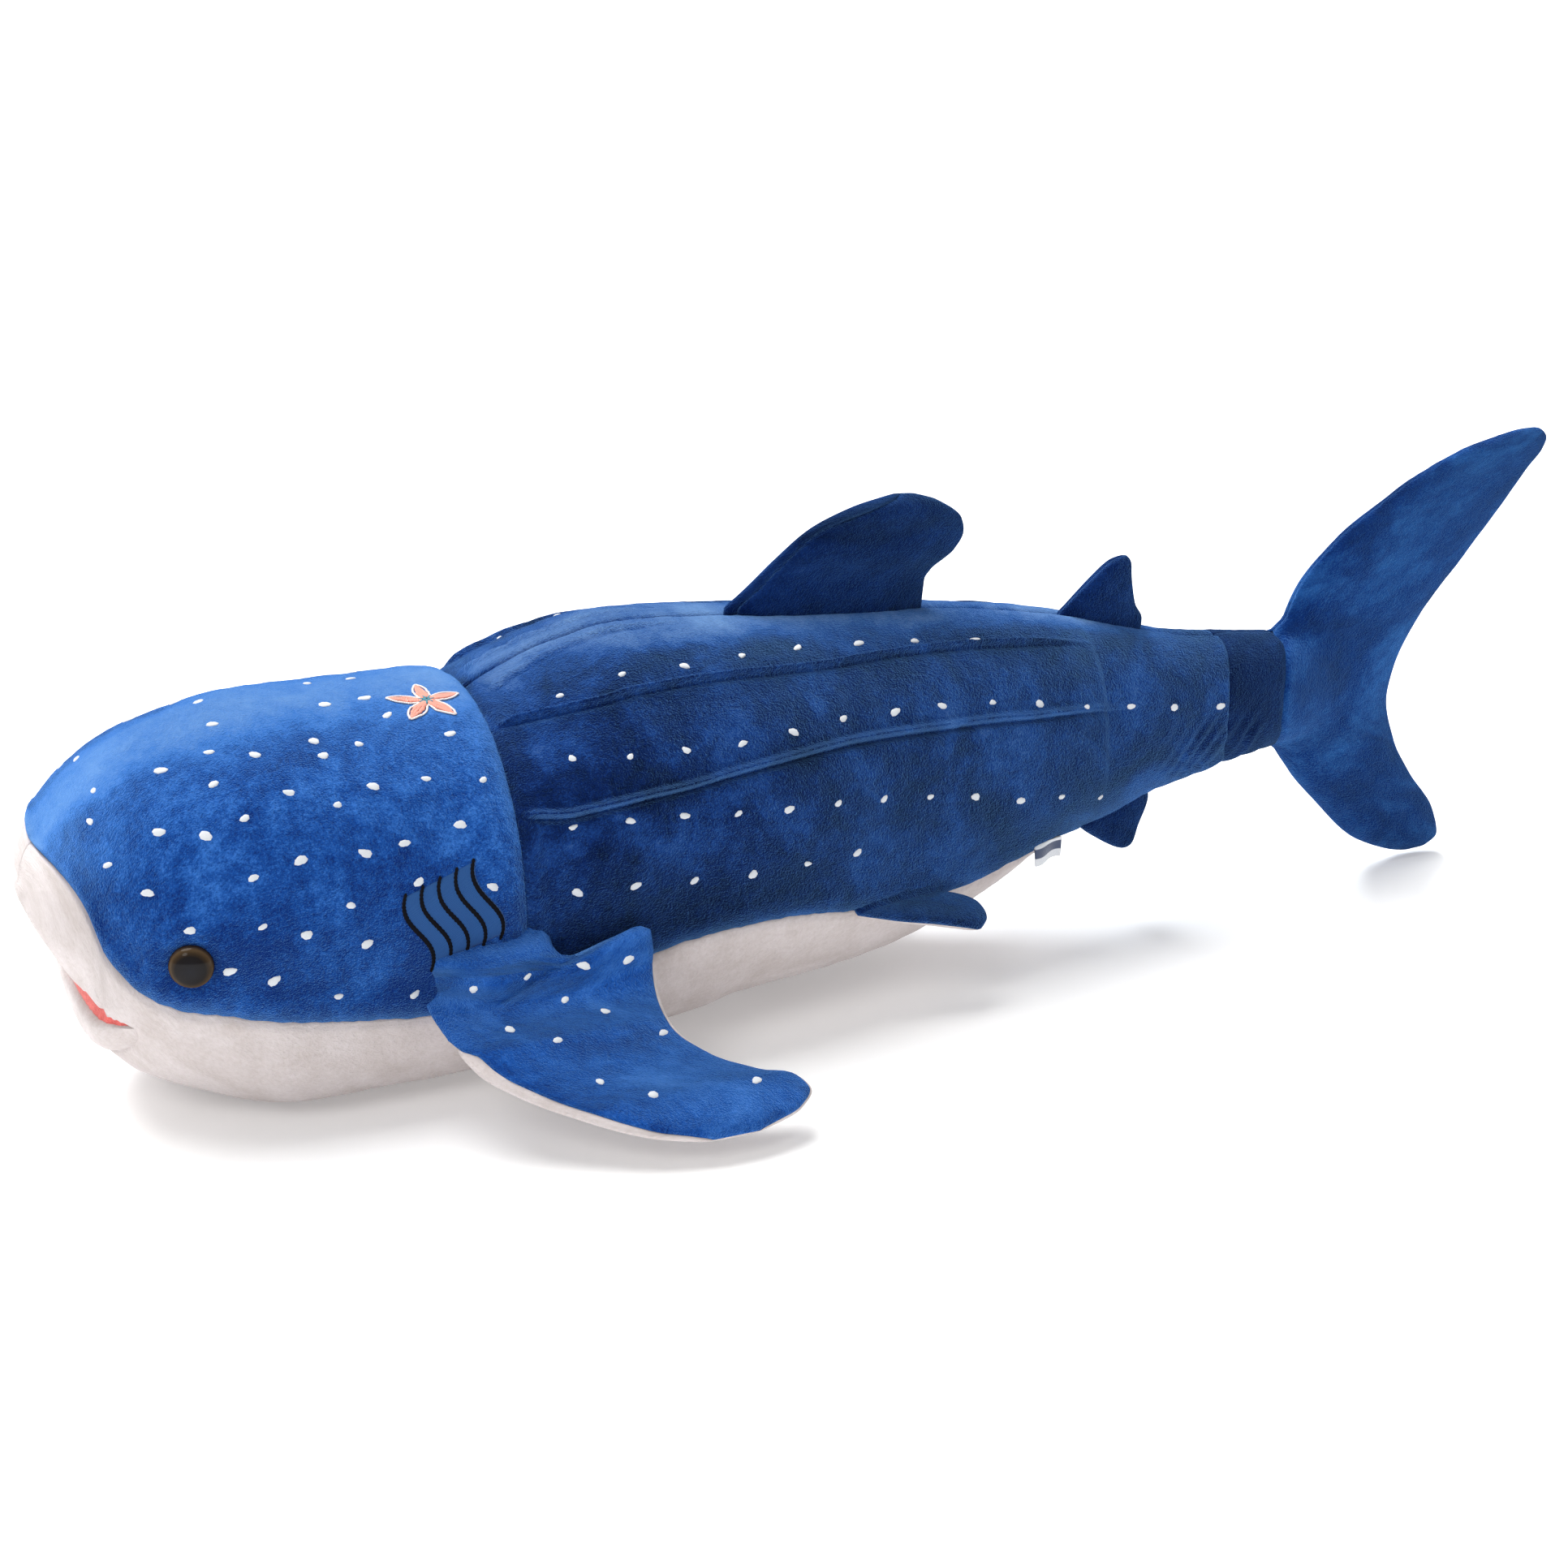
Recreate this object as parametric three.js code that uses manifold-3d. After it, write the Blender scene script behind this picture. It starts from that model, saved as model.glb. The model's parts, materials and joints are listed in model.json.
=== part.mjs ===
// Whale shark plush toy: pile-cloth panels sewn into a stuffed body, stuffed fins, a small lower
// lip, plastic safety eyes with washers, embroidered gill slits and a woven care label.
// Millimetres. +X runs from the snout to the tail, +Z is up, and the shark's left side is at -Y.
// The origin lies on the ground under the middle of the toy's length.
import * as THREE from 'three';
import { mergeVertices } from 'three/addons/utils/BufferGeometryUtils.js';
import Module from 'manifold-3d';

const wasm = await Module();
wasm.setup();

// ---- driving dimensions -------------------------------------------------------------------
const LENGTH = 820; // snout to the tip of the tail
const CLOTH = 3; // body pile cloth with its backing
const FIN_CLOTH = 2; // cloth of the fins
const GAP = 0.4; // between pieces that touch
const COLLAR = 212; // station of the seam between head and body
const TAIL_HINGE = 500; // station where the tail stock swings
const TAIL_RADIUS = 57;
const STEM_HINGE = 658; // station where the tail fin swings
const STEM_RADIUS = 25;
const HINGE_CLEARANCE = 0.8;
const LIP_ANGLE = 32; // degrees past square at which a socket's lips stop
const MOUTH = { low: 49, high: 55, corner: 47, depth: 58 };
const JAW = { centre: -28, radius: 85 }; // plan circle of the seam behind the lower lip
const EYE = { station: 60, height: 95, radius: 10, dome: 7, rim: 1.4, shank: 2.2, shankLength: 14,
  yaw: 17 };
const WASHER = { radius: 9, bore: 2.7, thick: 2, depth: 5.2, pocket: 14 };
const HIGH = 300; // taller and wider than any part of the toy
const AHEAD = -10; // a station in front of the snout
const BEYOND = 900; // a station behind the tail
const NOSE = 60; // station behind which an inner skin's rings stay level with the outer skin's

// ---- materials ----------------------------------------------------------------------------
const cloth = (color) => new THREE.MeshStandardMaterial({ color, roughness: 0.92, metalness: 0 });
const BLUE = cloth(0x2457a6);
const NAVY = cloth(0x17386f);
const WHITE = cloth(0xe4dcd8);
const CORAL = cloth(0xe2716a);
const FIBRE = cloth(0xf4f2ee);
const THREAD = cloth(0x17181c);
const SATIN = new THREE.MeshStandardMaterial({ color: 0xdcdcdc, roughness: 0.5, metalness: 0 });
const EYE_PLASTIC = new THREE.MeshStandardMaterial({ color: 0x1c130d, roughness: 0.12, metalness: 0 });
const WASHER_PLASTIC = new THREE.MeshStandardMaterial({ color: 0xefefef, roughness: 0.55, metalness: 0 });

// ---- general helpers ----------------------------------------------------------------------
// A station is the distance behind the snout; this turns it into the part's own X.
const atX = (station) => station - LENGTH / 2;
const radians = THREE.MathUtils.degToRad;

// A smooth curve through [position, value] pairs that never overshoots them.
function profile(points) {
  const last = points.length - 1;
  const rise = (i) => (points[i + 1][1] - points[i][1]) / (points[i + 1][0] - points[i][0]);
  const slopes = points.map((point, i) => {
    if (i === 0 || i === last) return rise(Math.min(i, last - 1));
    const [before, after] = [rise(i - 1), rise(i)];
    return before * after <= 0 ? 0 : (2 * before * after) / (before + after);
  });
  return (at) => {
    if (at <= points[0][0]) return points[0][1];
    if (at >= points[last][0]) return points[last][1];
    const i = points.findIndex((point) => point[0] > at) - 1;
    const width = points[i + 1][0] - points[i][0];
    const t = (at - points[i][0]) / width;
    const [a, b] = [points[i][1], points[i + 1][1]];
    const [da, db] = [slopes[i] * width, slopes[i + 1] * width];
    const t2 = t * t;
    const t3 = t2 * t;
    return a * (2 * t3 - 3 * t2 + 1) + da * (t3 - 2 * t2 + t) + b * (3 * t2 - 2 * t3) + db * (t3 - t2);
  };
}

// A closed skin over rings of equally many points, with a flat fan over each end.
function loft(rings) {
  const count = rings[0].length;
  const points = rings.flat();
  const centre = (ring) => ring.reduce((sum, p) => sum.add(p), new THREE.Vector3()).divideScalar(count);
  const index = [];
  for (let r = 0; r + 1 < rings.length; r += 1) {
    for (let k = 0; k < count; k += 1) {
      const a = r * count + k;
      const b = r * count + ((k + 1) % count);
      // The two sides of the toy are split along mirrored diagonals, so that they match.
      if (points[a].y + points[b].y < 0) index.push(a, b, a + count, b, b + count, a + count);
      else index.push(a, b, b + count, a, b + count, a + count);
    }
  }
  const lastStart = (rings.length - 1) * count;
  points.push(centre(rings[0]), centre(rings[rings.length - 1]));
  for (let k = 0; k < count; k += 1) {
    const next = (k + 1) % count;
    index.push(next, k, points.length - 2);
    index.push(lastStart + k, lastStart + next, points.length - 1);
  }
  const geometry = new THREE.BufferGeometry().setFromPoints(points);
  geometry.setIndex(index);
  return signedVolume(geometry) < 0 ? turnedOut(geometry) : geometry;
}

function signedVolume(geometry) {
  const position = geometry.attributes.position;
  const [a, b, c] = [new THREE.Vector3(), new THREE.Vector3(), new THREE.Vector3()];
  let volume = 0;
  for (let i = 0; i < geometry.index.count; i += 3) {
    a.fromBufferAttribute(position, geometry.index.getX(i));
    b.fromBufferAttribute(position, geometry.index.getX(i + 1));
    c.fromBufferAttribute(position, geometry.index.getX(i + 2));
    volume += a.dot(b.cross(c)) / 6;
  }
  return volume;
}

// The same surface with its faces pointing the other way.
function turnedOut(geometry) {
  const index = Array.from(geometry.index.array);
  for (let i = 0; i < index.length; i += 3) [index[i], index[i + 1]] = [index[i + 1], index[i]];
  geometry.setIndex(index);
  return geometry;
}

function toSolid(geometry) {
  let bare = geometry.clone();
  bare.deleteAttribute('normal');
  bare.deleteAttribute('uv');
  bare = mergeVertices(bare, 1e-4);
  return new wasm.Manifold(new wasm.Mesh({
    numProp: 3,
    vertProperties: Float32Array.from(bare.attributes.position.array),
    triVerts: Uint32Array.from(bare.index.array),
  }));
}

function toGeometry(solid) {
  const mesh = solid.getMesh();
  const geometry = new THREE.BufferGeometry();
  geometry.setAttribute('position', new THREE.BufferAttribute(Float32Array.from(mesh.vertProperties), 3));
  geometry.setIndex(Array.from(mesh.triVerts));
  geometry.computeVertexNormals();
  return geometry;
}

// The other side's piece, reflected in the plane y = 0.
function mirrored(geometry) {
  return turnedOut(geometry.clone().scale(1, -1, 1));
}

function block(x0, x1, y0, y1, z0, z1) {
  const geometry = new THREE.BoxGeometry(x1 - x0, y1 - y0, z1 - z0);
  geometry.translate((x0 + x1) / 2, (y0 + y1) / 2, (z0 + z1) / 2);
  return toSolid(geometry);
}

function upright(station, y, radius, sides = 48) {
  const geometry = new THREE.CylinderGeometry(radius, radius, 2 * HIGH, sides);
  geometry.rotateX(Math.PI / 2).translate(atX(station), y, 0);
  return toSolid(geometry);
}

// A side-view outline of [station, height] points, carried right across the toy.
function sideCutter(outline, yFrom = -HIGH, yTo = HIGH) {
  const shape = new THREE.Shape(outline.map(([station, z]) => new THREE.Vector2(atX(station), z)));
  const geometry = new THREE.ExtrudeGeometry(shape, { depth: yTo - yFrom, bevelEnabled: false });
  geometry.rotateX(Math.PI / 2).translate(0, yTo, 0);
  return toSolid(geometry);
}

const LEFT_HALF = block(-HIGH * 2, HIGH * 2, -HIGH, -GAP / 2, -HIGH, HIGH);

// ---- the stuffed body ---------------------------------------------------------------------
const halfWidth = profile([[0, 10], [3, 27], [10, 45], [20, 58], [35, 69], [60, 80], [100, 88],
  [150, 91], [212, 91], [260, 94], [310, 93], [360, 87], [430, 70], [480, 58], [530, 47],
  [600, 35], [658, 24.5], [690, 11], [700, 7]]);
const topLine = profile([[0, 114], [3, 125], [9, 135], [22, 151], [38, 164], [57, 174], [79, 179.5],
  [102, 183], [155, 184], [190, 182], [212, 180], [234, 190], [258, 197], [282, 200], [307, 199],
  [332, 197], [357, 194], [453, 185], [480, 181], [503, 177], [527, 171], [579, 156], [603, 150],
  [623, 147], [658, 143], [700, 139]]);
const bottomLine = profile([[0, 104], [2, 98], [11, 80], [18, 70], [23, 58], [25, 42], [31, 29],
  [44, 17], [66, 6], [88, 0], [108, -3], [275, -4], [305, -1], [330, 4], [362, 7],
  [392, 9], [430, 15], [452, 21], [484, 34], [503, 45], [527, 54], [550, 59], [587, 71], [617, 76],
  [658, 82], [700, 88]]);
const waistLine = profile([[0, 109], [30, 105], [60, 98], [100, 90], [200, 88], [300, 90],
  [400, 90], [480, 98], [530, 107], [600, 111], [700, 112]]);
const lowerPower = profile([[0, 2.2], [60, 2.4], [110, 3], [220, 2.7], [280, 2.1], [700, 2.1]]);
const UPPER_POWER = 2.25;
const STATIONS = [0, 3, 9, 18, 25, 32, 46, 66, 90, 125, 165, 205, 228, 256, 295, 340, 395, 450,
  495, 540, 590, 640, 675, 700];
const SIDES = 20;

const power = (value, exponent) => Math.sign(value) * Math.abs(value) ** exponent;

// The body's section at a station, drawn in from the outside by inset; it stands flat on z = 0.
function bodyRing(station, inset) {
  const waist = waistLine(station);
  const wide = Math.max(halfWidth(station) - inset, 1);
  const up = Math.max(topLine(station) - inset - waist, 1);
  const down = Math.max(waist - bottomLine(station) - inset, 1);
  return Array.from({ length: SIDES }, (_, k) => {
    const angle = (2 * Math.PI * k) / SIDES;
    const [across, rise] = [Math.cos(angle), Math.sin(angle)];
    const exponent = 2 / (rise >= 0 ? UPPER_POWER : lowerPower(station));
    const z = waist + (rise >= 0 ? up : down) * power(rise, exponent);
    return new THREE.Vector3(0, wide * power(across, exponent), Math.max(z, inset));
  });
}

// The whole body, shrunk by inset. The nose rings move back by the inset, and less further on.
function bodySolid(inset) {
  const rings = STATIONS.map((station) => {
    const shift = inset * Math.max(0, 1 - station / NOSE);
    return bodyRing(station, inset).map((p) => p.setX(atX(station + shift)));
  });
  return toSolid(loft(rings));
}

const outer = bodySolid(0);
const shell = outer.subtract(bodySolid(CLOTH));
const stuffing = bodySolid(CLOTH + GAP);

// ---- where the body is cut ----------------------------------------------------------------
// The seam between the coloured back and the white belly, as a height at each station.
const seamLine = profile([[0, 140], [8, 137], [13, 133], [19, 121], [26, 97], [38, 80], [48, 73],
  [70, 67], [98, 62], [127, 57], [165, 54], [210, 58], [255, 67], [304, 71], [338, 70], [386, 62],
  [457, 53], [483, 57], [507, 60], [530, 57], [550, 48]]);
const SEAM_POINTS = [AHEAD, 8, 13, 19, 26, 32, 38, 48, 70, 98, 127, 165, 210, 255, 304, 338, 386, 420,
  457, 483, 507, 530, 550, BEYOND];
const seam = (lift) => SEAM_POINTS.map((station) => [station, seamLine(station) + lift]);
const aboveSeam = sideCutter([...seam(GAP / 2), [BEYOND, HIGH], [AHEAD, HIGH]]);
const belowSeam = sideCutter([...seam(-GAP / 2), [BEYOND, -HIGH], [AHEAD, -HIGH]]);

const span = (from, to) => block(atX(from), atX(to), -HIGH, HIGH, -HIGH, HIGH);

// One body ends in a hollow round a standing axis, the next begins with the drum that turns in it.
function socket(hinge, radius) {
  const lips = hinge - radius * Math.sin(radians(LIP_ANGLE));
  return span(lips, BEYOND).add(upright(hinge, 0, radius + HINGE_CLEARANCE));
}
const drum = (hinge, radius) => span(hinge, BEYOND).add(upright(hinge, 0, radius));

const trunk = span(AHEAD, BEYOND).subtract(socket(TAIL_HINGE, TAIL_RADIUS));
const tail = drum(TAIL_HINGE, TAIL_RADIUS).subtract(socket(STEM_HINGE, STEM_RADIUS));
const stem = drum(STEM_HINGE, STEM_RADIUS);
const head = span(AHEAD, COLLAR - GAP / 2);
const bodyBack = trunk.intersect(span(COLLAR + GAP / 2, BEYOND));

// The mouth is a slot across the snout, and the lower lip is what lies below it.
const mouthSlot = (slack) => block(atX(AHEAD), atX(MOUTH.depth + slack), -MOUTH.corner - slack,
  MOUTH.corner + slack, MOUTH.low - slack, MOUTH.high + slack);
const jawBlock = (slack) => upright(JAW.centre, 0, JAW.radius + slack, 96)
  .intersect(block(atX(AHEAD), atX(MOUTH.depth), -MOUTH.corner - slack, MOUTH.corner + slack, -HIGH,
    MOUTH.low + slack));

// ---- eyes ---------------------------------------------------------------------------------
function eyeProfile() {
  const points = [new THREE.Vector2(0, -EYE.shankLength), new THREE.Vector2(EYE.shank, -EYE.shankLength),
    new THREE.Vector2(EYE.shank, 0), new THREE.Vector2(EYE.radius, 0), new THREE.Vector2(EYE.radius, EYE.rim)];
  const steps = 4;
  for (let k = 1; k <= steps; k += 1) {
    const angle = (k / steps) * (Math.PI / 2);
    const radius = k === steps ? 0 : EYE.radius * Math.cos(angle);
    points.push(new THREE.Vector2(radius, EYE.rim + (EYE.dome - EYE.rim) * Math.sin(angle)));
  }
  return points;
}

// A group on one cheek whose local Y points straight out of the cloth.
function eyeSeat(side) {
  const seat = new THREE.Group();
  const left = side === 'left';
  seat.position.set(atX(EYE.station), (left ? -1 : 1) * halfWidth(EYE.station), EYE.height);
  seat.rotation.z = left ? Math.PI - radians(EYE.yaw) : radians(EYE.yaw);
  seat.updateMatrix();
  return seat;
}

function seated(geometry) {
  return toSolid(geometry.applyMatrix4(eyeSeat('left').matrix));
}
const shankHole = seated(new THREE.CylinderGeometry(EYE.shank + GAP, EYE.shank + GAP, 60, 12));
const washerPocket = seated(new THREE.CylinderGeometry(WASHER.radius + 1, WASHER.radius + 1,
  WASHER.pocket, 12).translate(0, -(WASHER.pocket + CLOTH) / 2, 0));
const shankPocket = seated(new THREE.CylinderGeometry(EYE.shank + 1, EYE.shank + 1, 20, 12)
  .translate(0, -10, 0));

function bothSides(solid) {
  return solid.add(toSolid(mirrored(toGeometry(solid))));
}

// ---- body panels --------------------------------------------------------------------------
const group = new THREE.Group();

function addPiece(name, solid, material) {
  const mesh = new THREE.Mesh(toGeometry(solid), material);
  mesh.name = name;
  group.add(mesh);
  return mesh;
}

// Adds a piece made for the left side, and its reflection on the right.
function addPair(stemName, solid, material, ending = '') {
  const left = addPiece(`${stemName}_left${ending}`, solid, material);
  const right = new THREE.Mesh(mirrored(left.geometry), material);
  right.name = `${stemName}_right${ending}`;
  group.add(right);
}

const mouthCut = mouthSlot(0).add(jawBlock(GAP));
addPiece('head_panel', shell.intersect(head).intersect(aboveSeam).subtract(bothSides(shankHole)), BLUE);
addPiece('throat_panel', shell.intersect(head).intersect(belowSeam).subtract(mouthCut), WHITE);
addPiece('mouth_lining', bodySolid(1.5).intersect(mouthSlot(-GAP)), CORAL);
addPiece('lower_lip_panel', shell.intersect(jawBlock(0)).intersect(belowSeam), WHITE);
addPiece('lower_lip_filling', stuffing.intersect(jawBlock(-GAP)), FIBRE);
addPair('back_panel', shell.intersect(bodyBack).intersect(aboveSeam).intersect(LEFT_HALF), NAVY);
addPiece('belly_panel', shell.intersect(bodyBack).intersect(belowSeam), WHITE);
addPair('tail_panel', shell.intersect(tail).intersect(aboveSeam).intersect(LEFT_HALF), NAVY);
addPiece('tail_belly_panel', shell.intersect(tail).intersect(belowSeam), WHITE);
addPiece('body_filling', stuffing.intersect(trunk).subtract(mouthSlot(GAP)).subtract(jawBlock(2 * GAP))
  .subtract(bothSides(washerPocket.add(shankPocket))), FIBRE);
addPiece('tail_filling', stuffing.intersect(tail), FIBRE);

// ---- fins ---------------------------------------------------------------------------------
// A straight fin's frame: chord points from front to back, span from root to tip.
function finFrame(origin, chord, spanAxis) {
  const side = new THREE.Vector3().crossVectors(spanAxis, chord);
  return (c, u, n) => origin.clone().addScaledVector(chord, c).addScaledVector(spanAxis, u)
    .addScaledVector(side, n);
}

const ALLOWANCE = 2; // how much thicker the turned-in seam allowance makes a fin's edges
const SECTION = [0, 0.08, 0.34, 0.74, 1];

const LEAST_FULL = 0.12; // share of the thickness left at a fin's edges, root and tip
const LENS_POWER = 2.6; // how full a fin's section is; 2 would be an ellipse
const LEAST_HALF = 0.25;

// A fin: at each step of the span a lens section from its leading to its trailing edge, with a
// root rounded about its own hinge line and a rounded tip.
function finSolid(fin, inset) {
  const [root, tip] = [inset, fin.span - inset];
  const between = fin.steps.map((step) => fin.span * step).filter((u) => u > root + 0.5 && u < tip - 0.5);
  const rings = [root, ...between, tip].map((u) => {
    const [from, to] = [fin.lead(u) + inset * ALLOWANCE, fin.trail(u) - inset * ALLOWANCE];
    const rootFall = Math.max(0, 1 - u / fin.hinge);
    const tipFall = Math.max(0, (u - fin.span + fin.hinge) / fin.hinge);
    const full = fin.thick(u) * Math.sqrt(Math.max(LEAST_FULL, 1 - rootFall ** 2 - tipFall ** 2));
    const half = Math.max(full / 2 - inset, LEAST_HALF);
    const bulge = (at) => Math.sqrt(Math.max(0, 1 - Math.abs(2 * at - 1) ** LENS_POWER));
    const edge = (at) => half * Math.max(LEAST_FULL, bulge(at));
    const upper = SECTION.map((at) => fin.place(from + (to - from) * at, u, edge(at)));
    const lower = SECTION.map((at) => fin.place(from + (to - from) * at, u, -edge(at))).reverse();
    return [...upper, ...lower];
  });
  return toSolid(loft(rings));
}

// Everything on one side of a fin's middle surface.
function finSide(fin, sign) {
  const [near, far] = [GAP / 2, 40];
  const corners = [[-HIGH, near], [LENGTH + HIGH, near], [LENGTH + HIGH, far], [-HIGH, far]];
  const bends = fin.bends ?? 1;
  const spare = 12;
  const rings = Array.from({ length: bends + 1 }, (_, k) => -spare + ((fin.span + 2 * spare) * k) / bends)
    .map((u) => corners.map(([c, n]) => fin.place(c, u, sign * n)));
  return toSolid(loft(rings));
}

// The two cloth faces and the stuffing of a fin, with the stem that the tail fin grows from.
function finPieces(fin) {
  const join = (inset, part) => (part ? finSolid(fin, inset).add(part) : finSolid(fin, inset));
  const skin = join(0, fin.stem?.(0)).subtract(join(FIN_CLOTH, fin.stem && bodySolid(FIN_CLOTH)));
  return {
    near: skin.intersect(finSide(fin, 1)),
    far: skin.intersect(finSide(fin, -1)),
    filling: join(FIN_CLOTH + 2 * GAP, fin.stem?.(FIN_CLOTH + 2 * GAP)),
  };
}

const STEPS = [0, 0.03, 0.12, 0.3, 0.5, 0.72, 0.9, 1];
const slope = (degrees) => new THREE.Vector3(Math.cos(radians(degrees)), 0, Math.sin(radians(degrees)));

const dorsal = {
  span: 55.5, hinge: 7, steps: STEPS, thick: profile([[0, 15], [20, 15], [55, 10]]),
  lead: profile([[0, 0], [8, 9], [24, 25], [38, 41], [48, 61], [55.5, 85]]),
  trail: profile([[0, 107], [12, 107], [17, 110], [27, 122], [36, 126], [43, 124], [52, 110], [55.5, 97]]),
  place: finFrame(new THREE.Vector3(atX(345), 0, 197.9), slope(-5.6), slope(84.4)),
};
const secondDorsal = {
  span: 34.5, hinge: 5, steps: STEPS, thick: profile([[0, 10.5], [15, 10.5], [34.5, 8]]),
  lead: profile([[0, 0], [19.5, 13.5], [30, 22], [34.5, 29]]),
  trail: profile([[0, 52], [4, 51], [10.6, 44.8], [23, 38.5], [32, 35], [34.5, 33]]),
  place: finFrame(new THREE.Vector3(atX(527), 0, 171.5), slope(-14.6), slope(75.4)),
};
const anal = {
  span: 29, hinge: 5, steps: STEPS, thick: profile([[0, 10.5], [12, 10.5], [29, 8]]),
  lead: profile([[0, 0], [4.4, 1], [14.8, 8.3], [27, 20.4], [29, 24]]),
  trail: profile([[0, 46], [3, 46], [20, 35], [27, 30], [29, 27.5]]),
  place: finFrame(new THREE.Vector3(atX(541), 0, 55), slope(15.8), slope(-74.2)),
};
const PELVIC_PLAN = 14; // degrees that the pelvic roots turn in with the narrowing body
const PELVIC_DROP = 42;
const pelvicChord = new THREE.Vector3(Math.cos(radians(PELVIC_PLAN)), Math.sin(radians(PELVIC_PLAN)), 0);
const pelvicOut = new THREE.Vector3(Math.sin(radians(PELVIC_PLAN)), -Math.cos(radians(PELVIC_PLAN)), 0)
  .multiplyScalar(Math.cos(radians(PELVIC_DROP))).setZ(-Math.sin(radians(PELVIC_DROP)));
const pelvic = {
  span: 24, hinge: 4.5, steps: STEPS, thick: profile([[0, 9.5], [12, 9.5], [24, 7]]),
  lead: profile([[0, 0], [9, 22], [15, 42], [22, 62], [24, 67]]),
  trail: profile([[0, 54], [3, 66], [6, 70], [12, 75], [20, 75], [24, 71]]),
  place: finFrame(new THREE.Vector3(atX(380), -82, 61), pelvicChord, pelvicOut),
};

// The pectoral fin droops: steep at its root and flatter towards its tip.
const PECTORAL = { y: 95.5, z: 80, span: 108, rootDrop: radians(52), tipDrop: radians(24) };
function pectoralPlace(c, u, n) {
  const turn = (PECTORAL.tipDrop - PECTORAL.rootDrop) / PECTORAL.span;
  const drop = PECTORAL.rootDrop + turn * u;
  const out = (Math.sin(drop) - Math.sin(PECTORAL.rootDrop)) / turn;
  const down = (Math.cos(PECTORAL.rootDrop) - Math.cos(drop)) / turn;
  return new THREE.Vector3(atX(c), -PECTORAL.y - out - n * Math.sin(drop),
    PECTORAL.z - down + n * Math.cos(drop));
}
const pectoral = {
  span: PECTORAL.span, hinge: 7, bends: 6, steps: STEPS, thick: profile([[0, 14.5], [40, 15], [108, 10]]),
  lead: profile([[0, 165], [24, 162], [51, 172], [67, 188], [81, 207], [100, 239], [108, 264]]),
  trail: profile([[0, 222], [5, 226], [12, 266], [32, 265], [47, 268], [65, 282], [76, 300],
    [84, 318], [91, 321], [100, 313], [108, 290]]),
  place: pectoralPlace,
};

// The tail fin is a crescent lofted from its lower tip to its upper tip.
const CAUDAL_LOW = 3;
const caudal = {
  span: 235, hinge: 6, steps: [0, 0.015, 0.06, 0.15, 0.27, 0.4, 0.52, 0.66, 0.78, 0.88, 0.95, 0.985, 1],
  thick: profile([[0, 11], [40, 16], [80, 20], [110, 22], [140, 20], [180, 16], [235, 10]]),
  lead: profile([[0, 750], [3, 738], [14, 714], [37, 691], [59, 672], [82, 659], [109, 657], [137, 660],
    [161, 668], [189, 694], [203, 716], [214, 735], [227, 767], [233, 793], [235, 806]]),
  trail: profile([[0, 765], [6, 773], [22, 768], [47, 750], [68, 738], [94, 731], [111, 734],
    [137, 747], [168, 773], [195, 796], [213, 810], [223, 820], [230, 821], [235, 815]]),
  place: finFrame(new THREE.Vector3(atX(0), 0, CAUDAL_LOW), slope(0), slope(90)),
  stem: (inset) => bodySolid(inset).intersect(stem), // the end of the body, sewn to the fin's faces
};

for (const [name, fin] of [['dorsal_fin', dorsal], ['second_dorsal_fin', secondDorsal],
  ['anal_fin', anal], ['tail_fin', caudal]]) {
  const pieces = finPieces(fin);
  const [left, right] = fin === anal ? [pieces.near, pieces.far] : [pieces.far, pieces.near];
  addPiece(`${name}_left`, left, fin === caudal ? BLUE : NAVY);
  addPiece(`${name}_right`, right, fin === caudal ? BLUE : NAVY);
  addPiece(`${name}_filling`, pieces.filling, FIBRE);
}
for (const [name, fin] of [['pelvic_fin', pelvic], ['pectoral_fin', pectoral]]) {
  const pieces = finPieces(fin);
  addPair(name, pieces.near, NAVY, '_top');
  addPair(name, pieces.far, WHITE, '_underside');
  addPair(name, pieces.filling, FIBRE, '_filling');
}

// ---- eyes and washers ---------------------------------------------------------------------
const washerProfile = [[WASHER.bore, 0], [WASHER.radius, 0], [WASHER.radius, WASHER.thick],
  [WASHER.bore, WASHER.thick], [WASHER.bore, 0]].map(([r, h]) => new THREE.Vector2(r, h));
for (const side of ['left', 'right']) {
  const seat = eyeSeat(side);
  const eye = new THREE.Mesh(new THREE.LatheGeometry(eyeProfile(), 18), EYE_PLASTIC);
  eye.name = `eye_${side}`;
  eye.position.y = GAP;
  const washer = new THREE.Mesh(new THREE.LatheGeometry(washerProfile, 14), WASHER_PLASTIC);
  washer.name = `eye_washer_${side}`;
  washer.position.y = -WASHER.depth - WASHER.thick;
  seat.add(eye, washer);
  group.add(seat);
}

// ---- embroidery and label -----------------------------------------------------------------
// Five S-shaped lines of stitching on a thin oval of backing, raised on each flank.
const GILL = { station: 156, step: 8.2, lines: 5, top: 116, bottom: 80, climb: 2.6, lean: 9, curl: 2.6,
  width: 1.8, thick: 1.9 };
const GILL_PATCH = { station: 177, height: 103.5, long: 27, high: 21, thick: 0.8, corners: 14 };
const raised = (low, high) => bodySolid(-high).subtract(bodySolid(-low));
function gillLine(index) {
  const steps = 5;
  const middle = Array.from({ length: steps + 1 }, (_, k) => {
    const t = k / steps;
    const sway = GILL.lean * (3 * t * t - 2 * t * t * t) - GILL.curl * Math.sin(2 * Math.PI * t);
    const z = GILL.top + (GILL.bottom - GILL.top) * t + GILL.climb * index;
    return [GILL.station + index * GILL.step + sway, z];
  });
  const edge = (side) => middle.map(([s, z]) => [s + (side * GILL.width) / 2, z]);
  return sideCutter([...edge(1), ...edge(-1).reverse()], -HIGH, 0);
}

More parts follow.
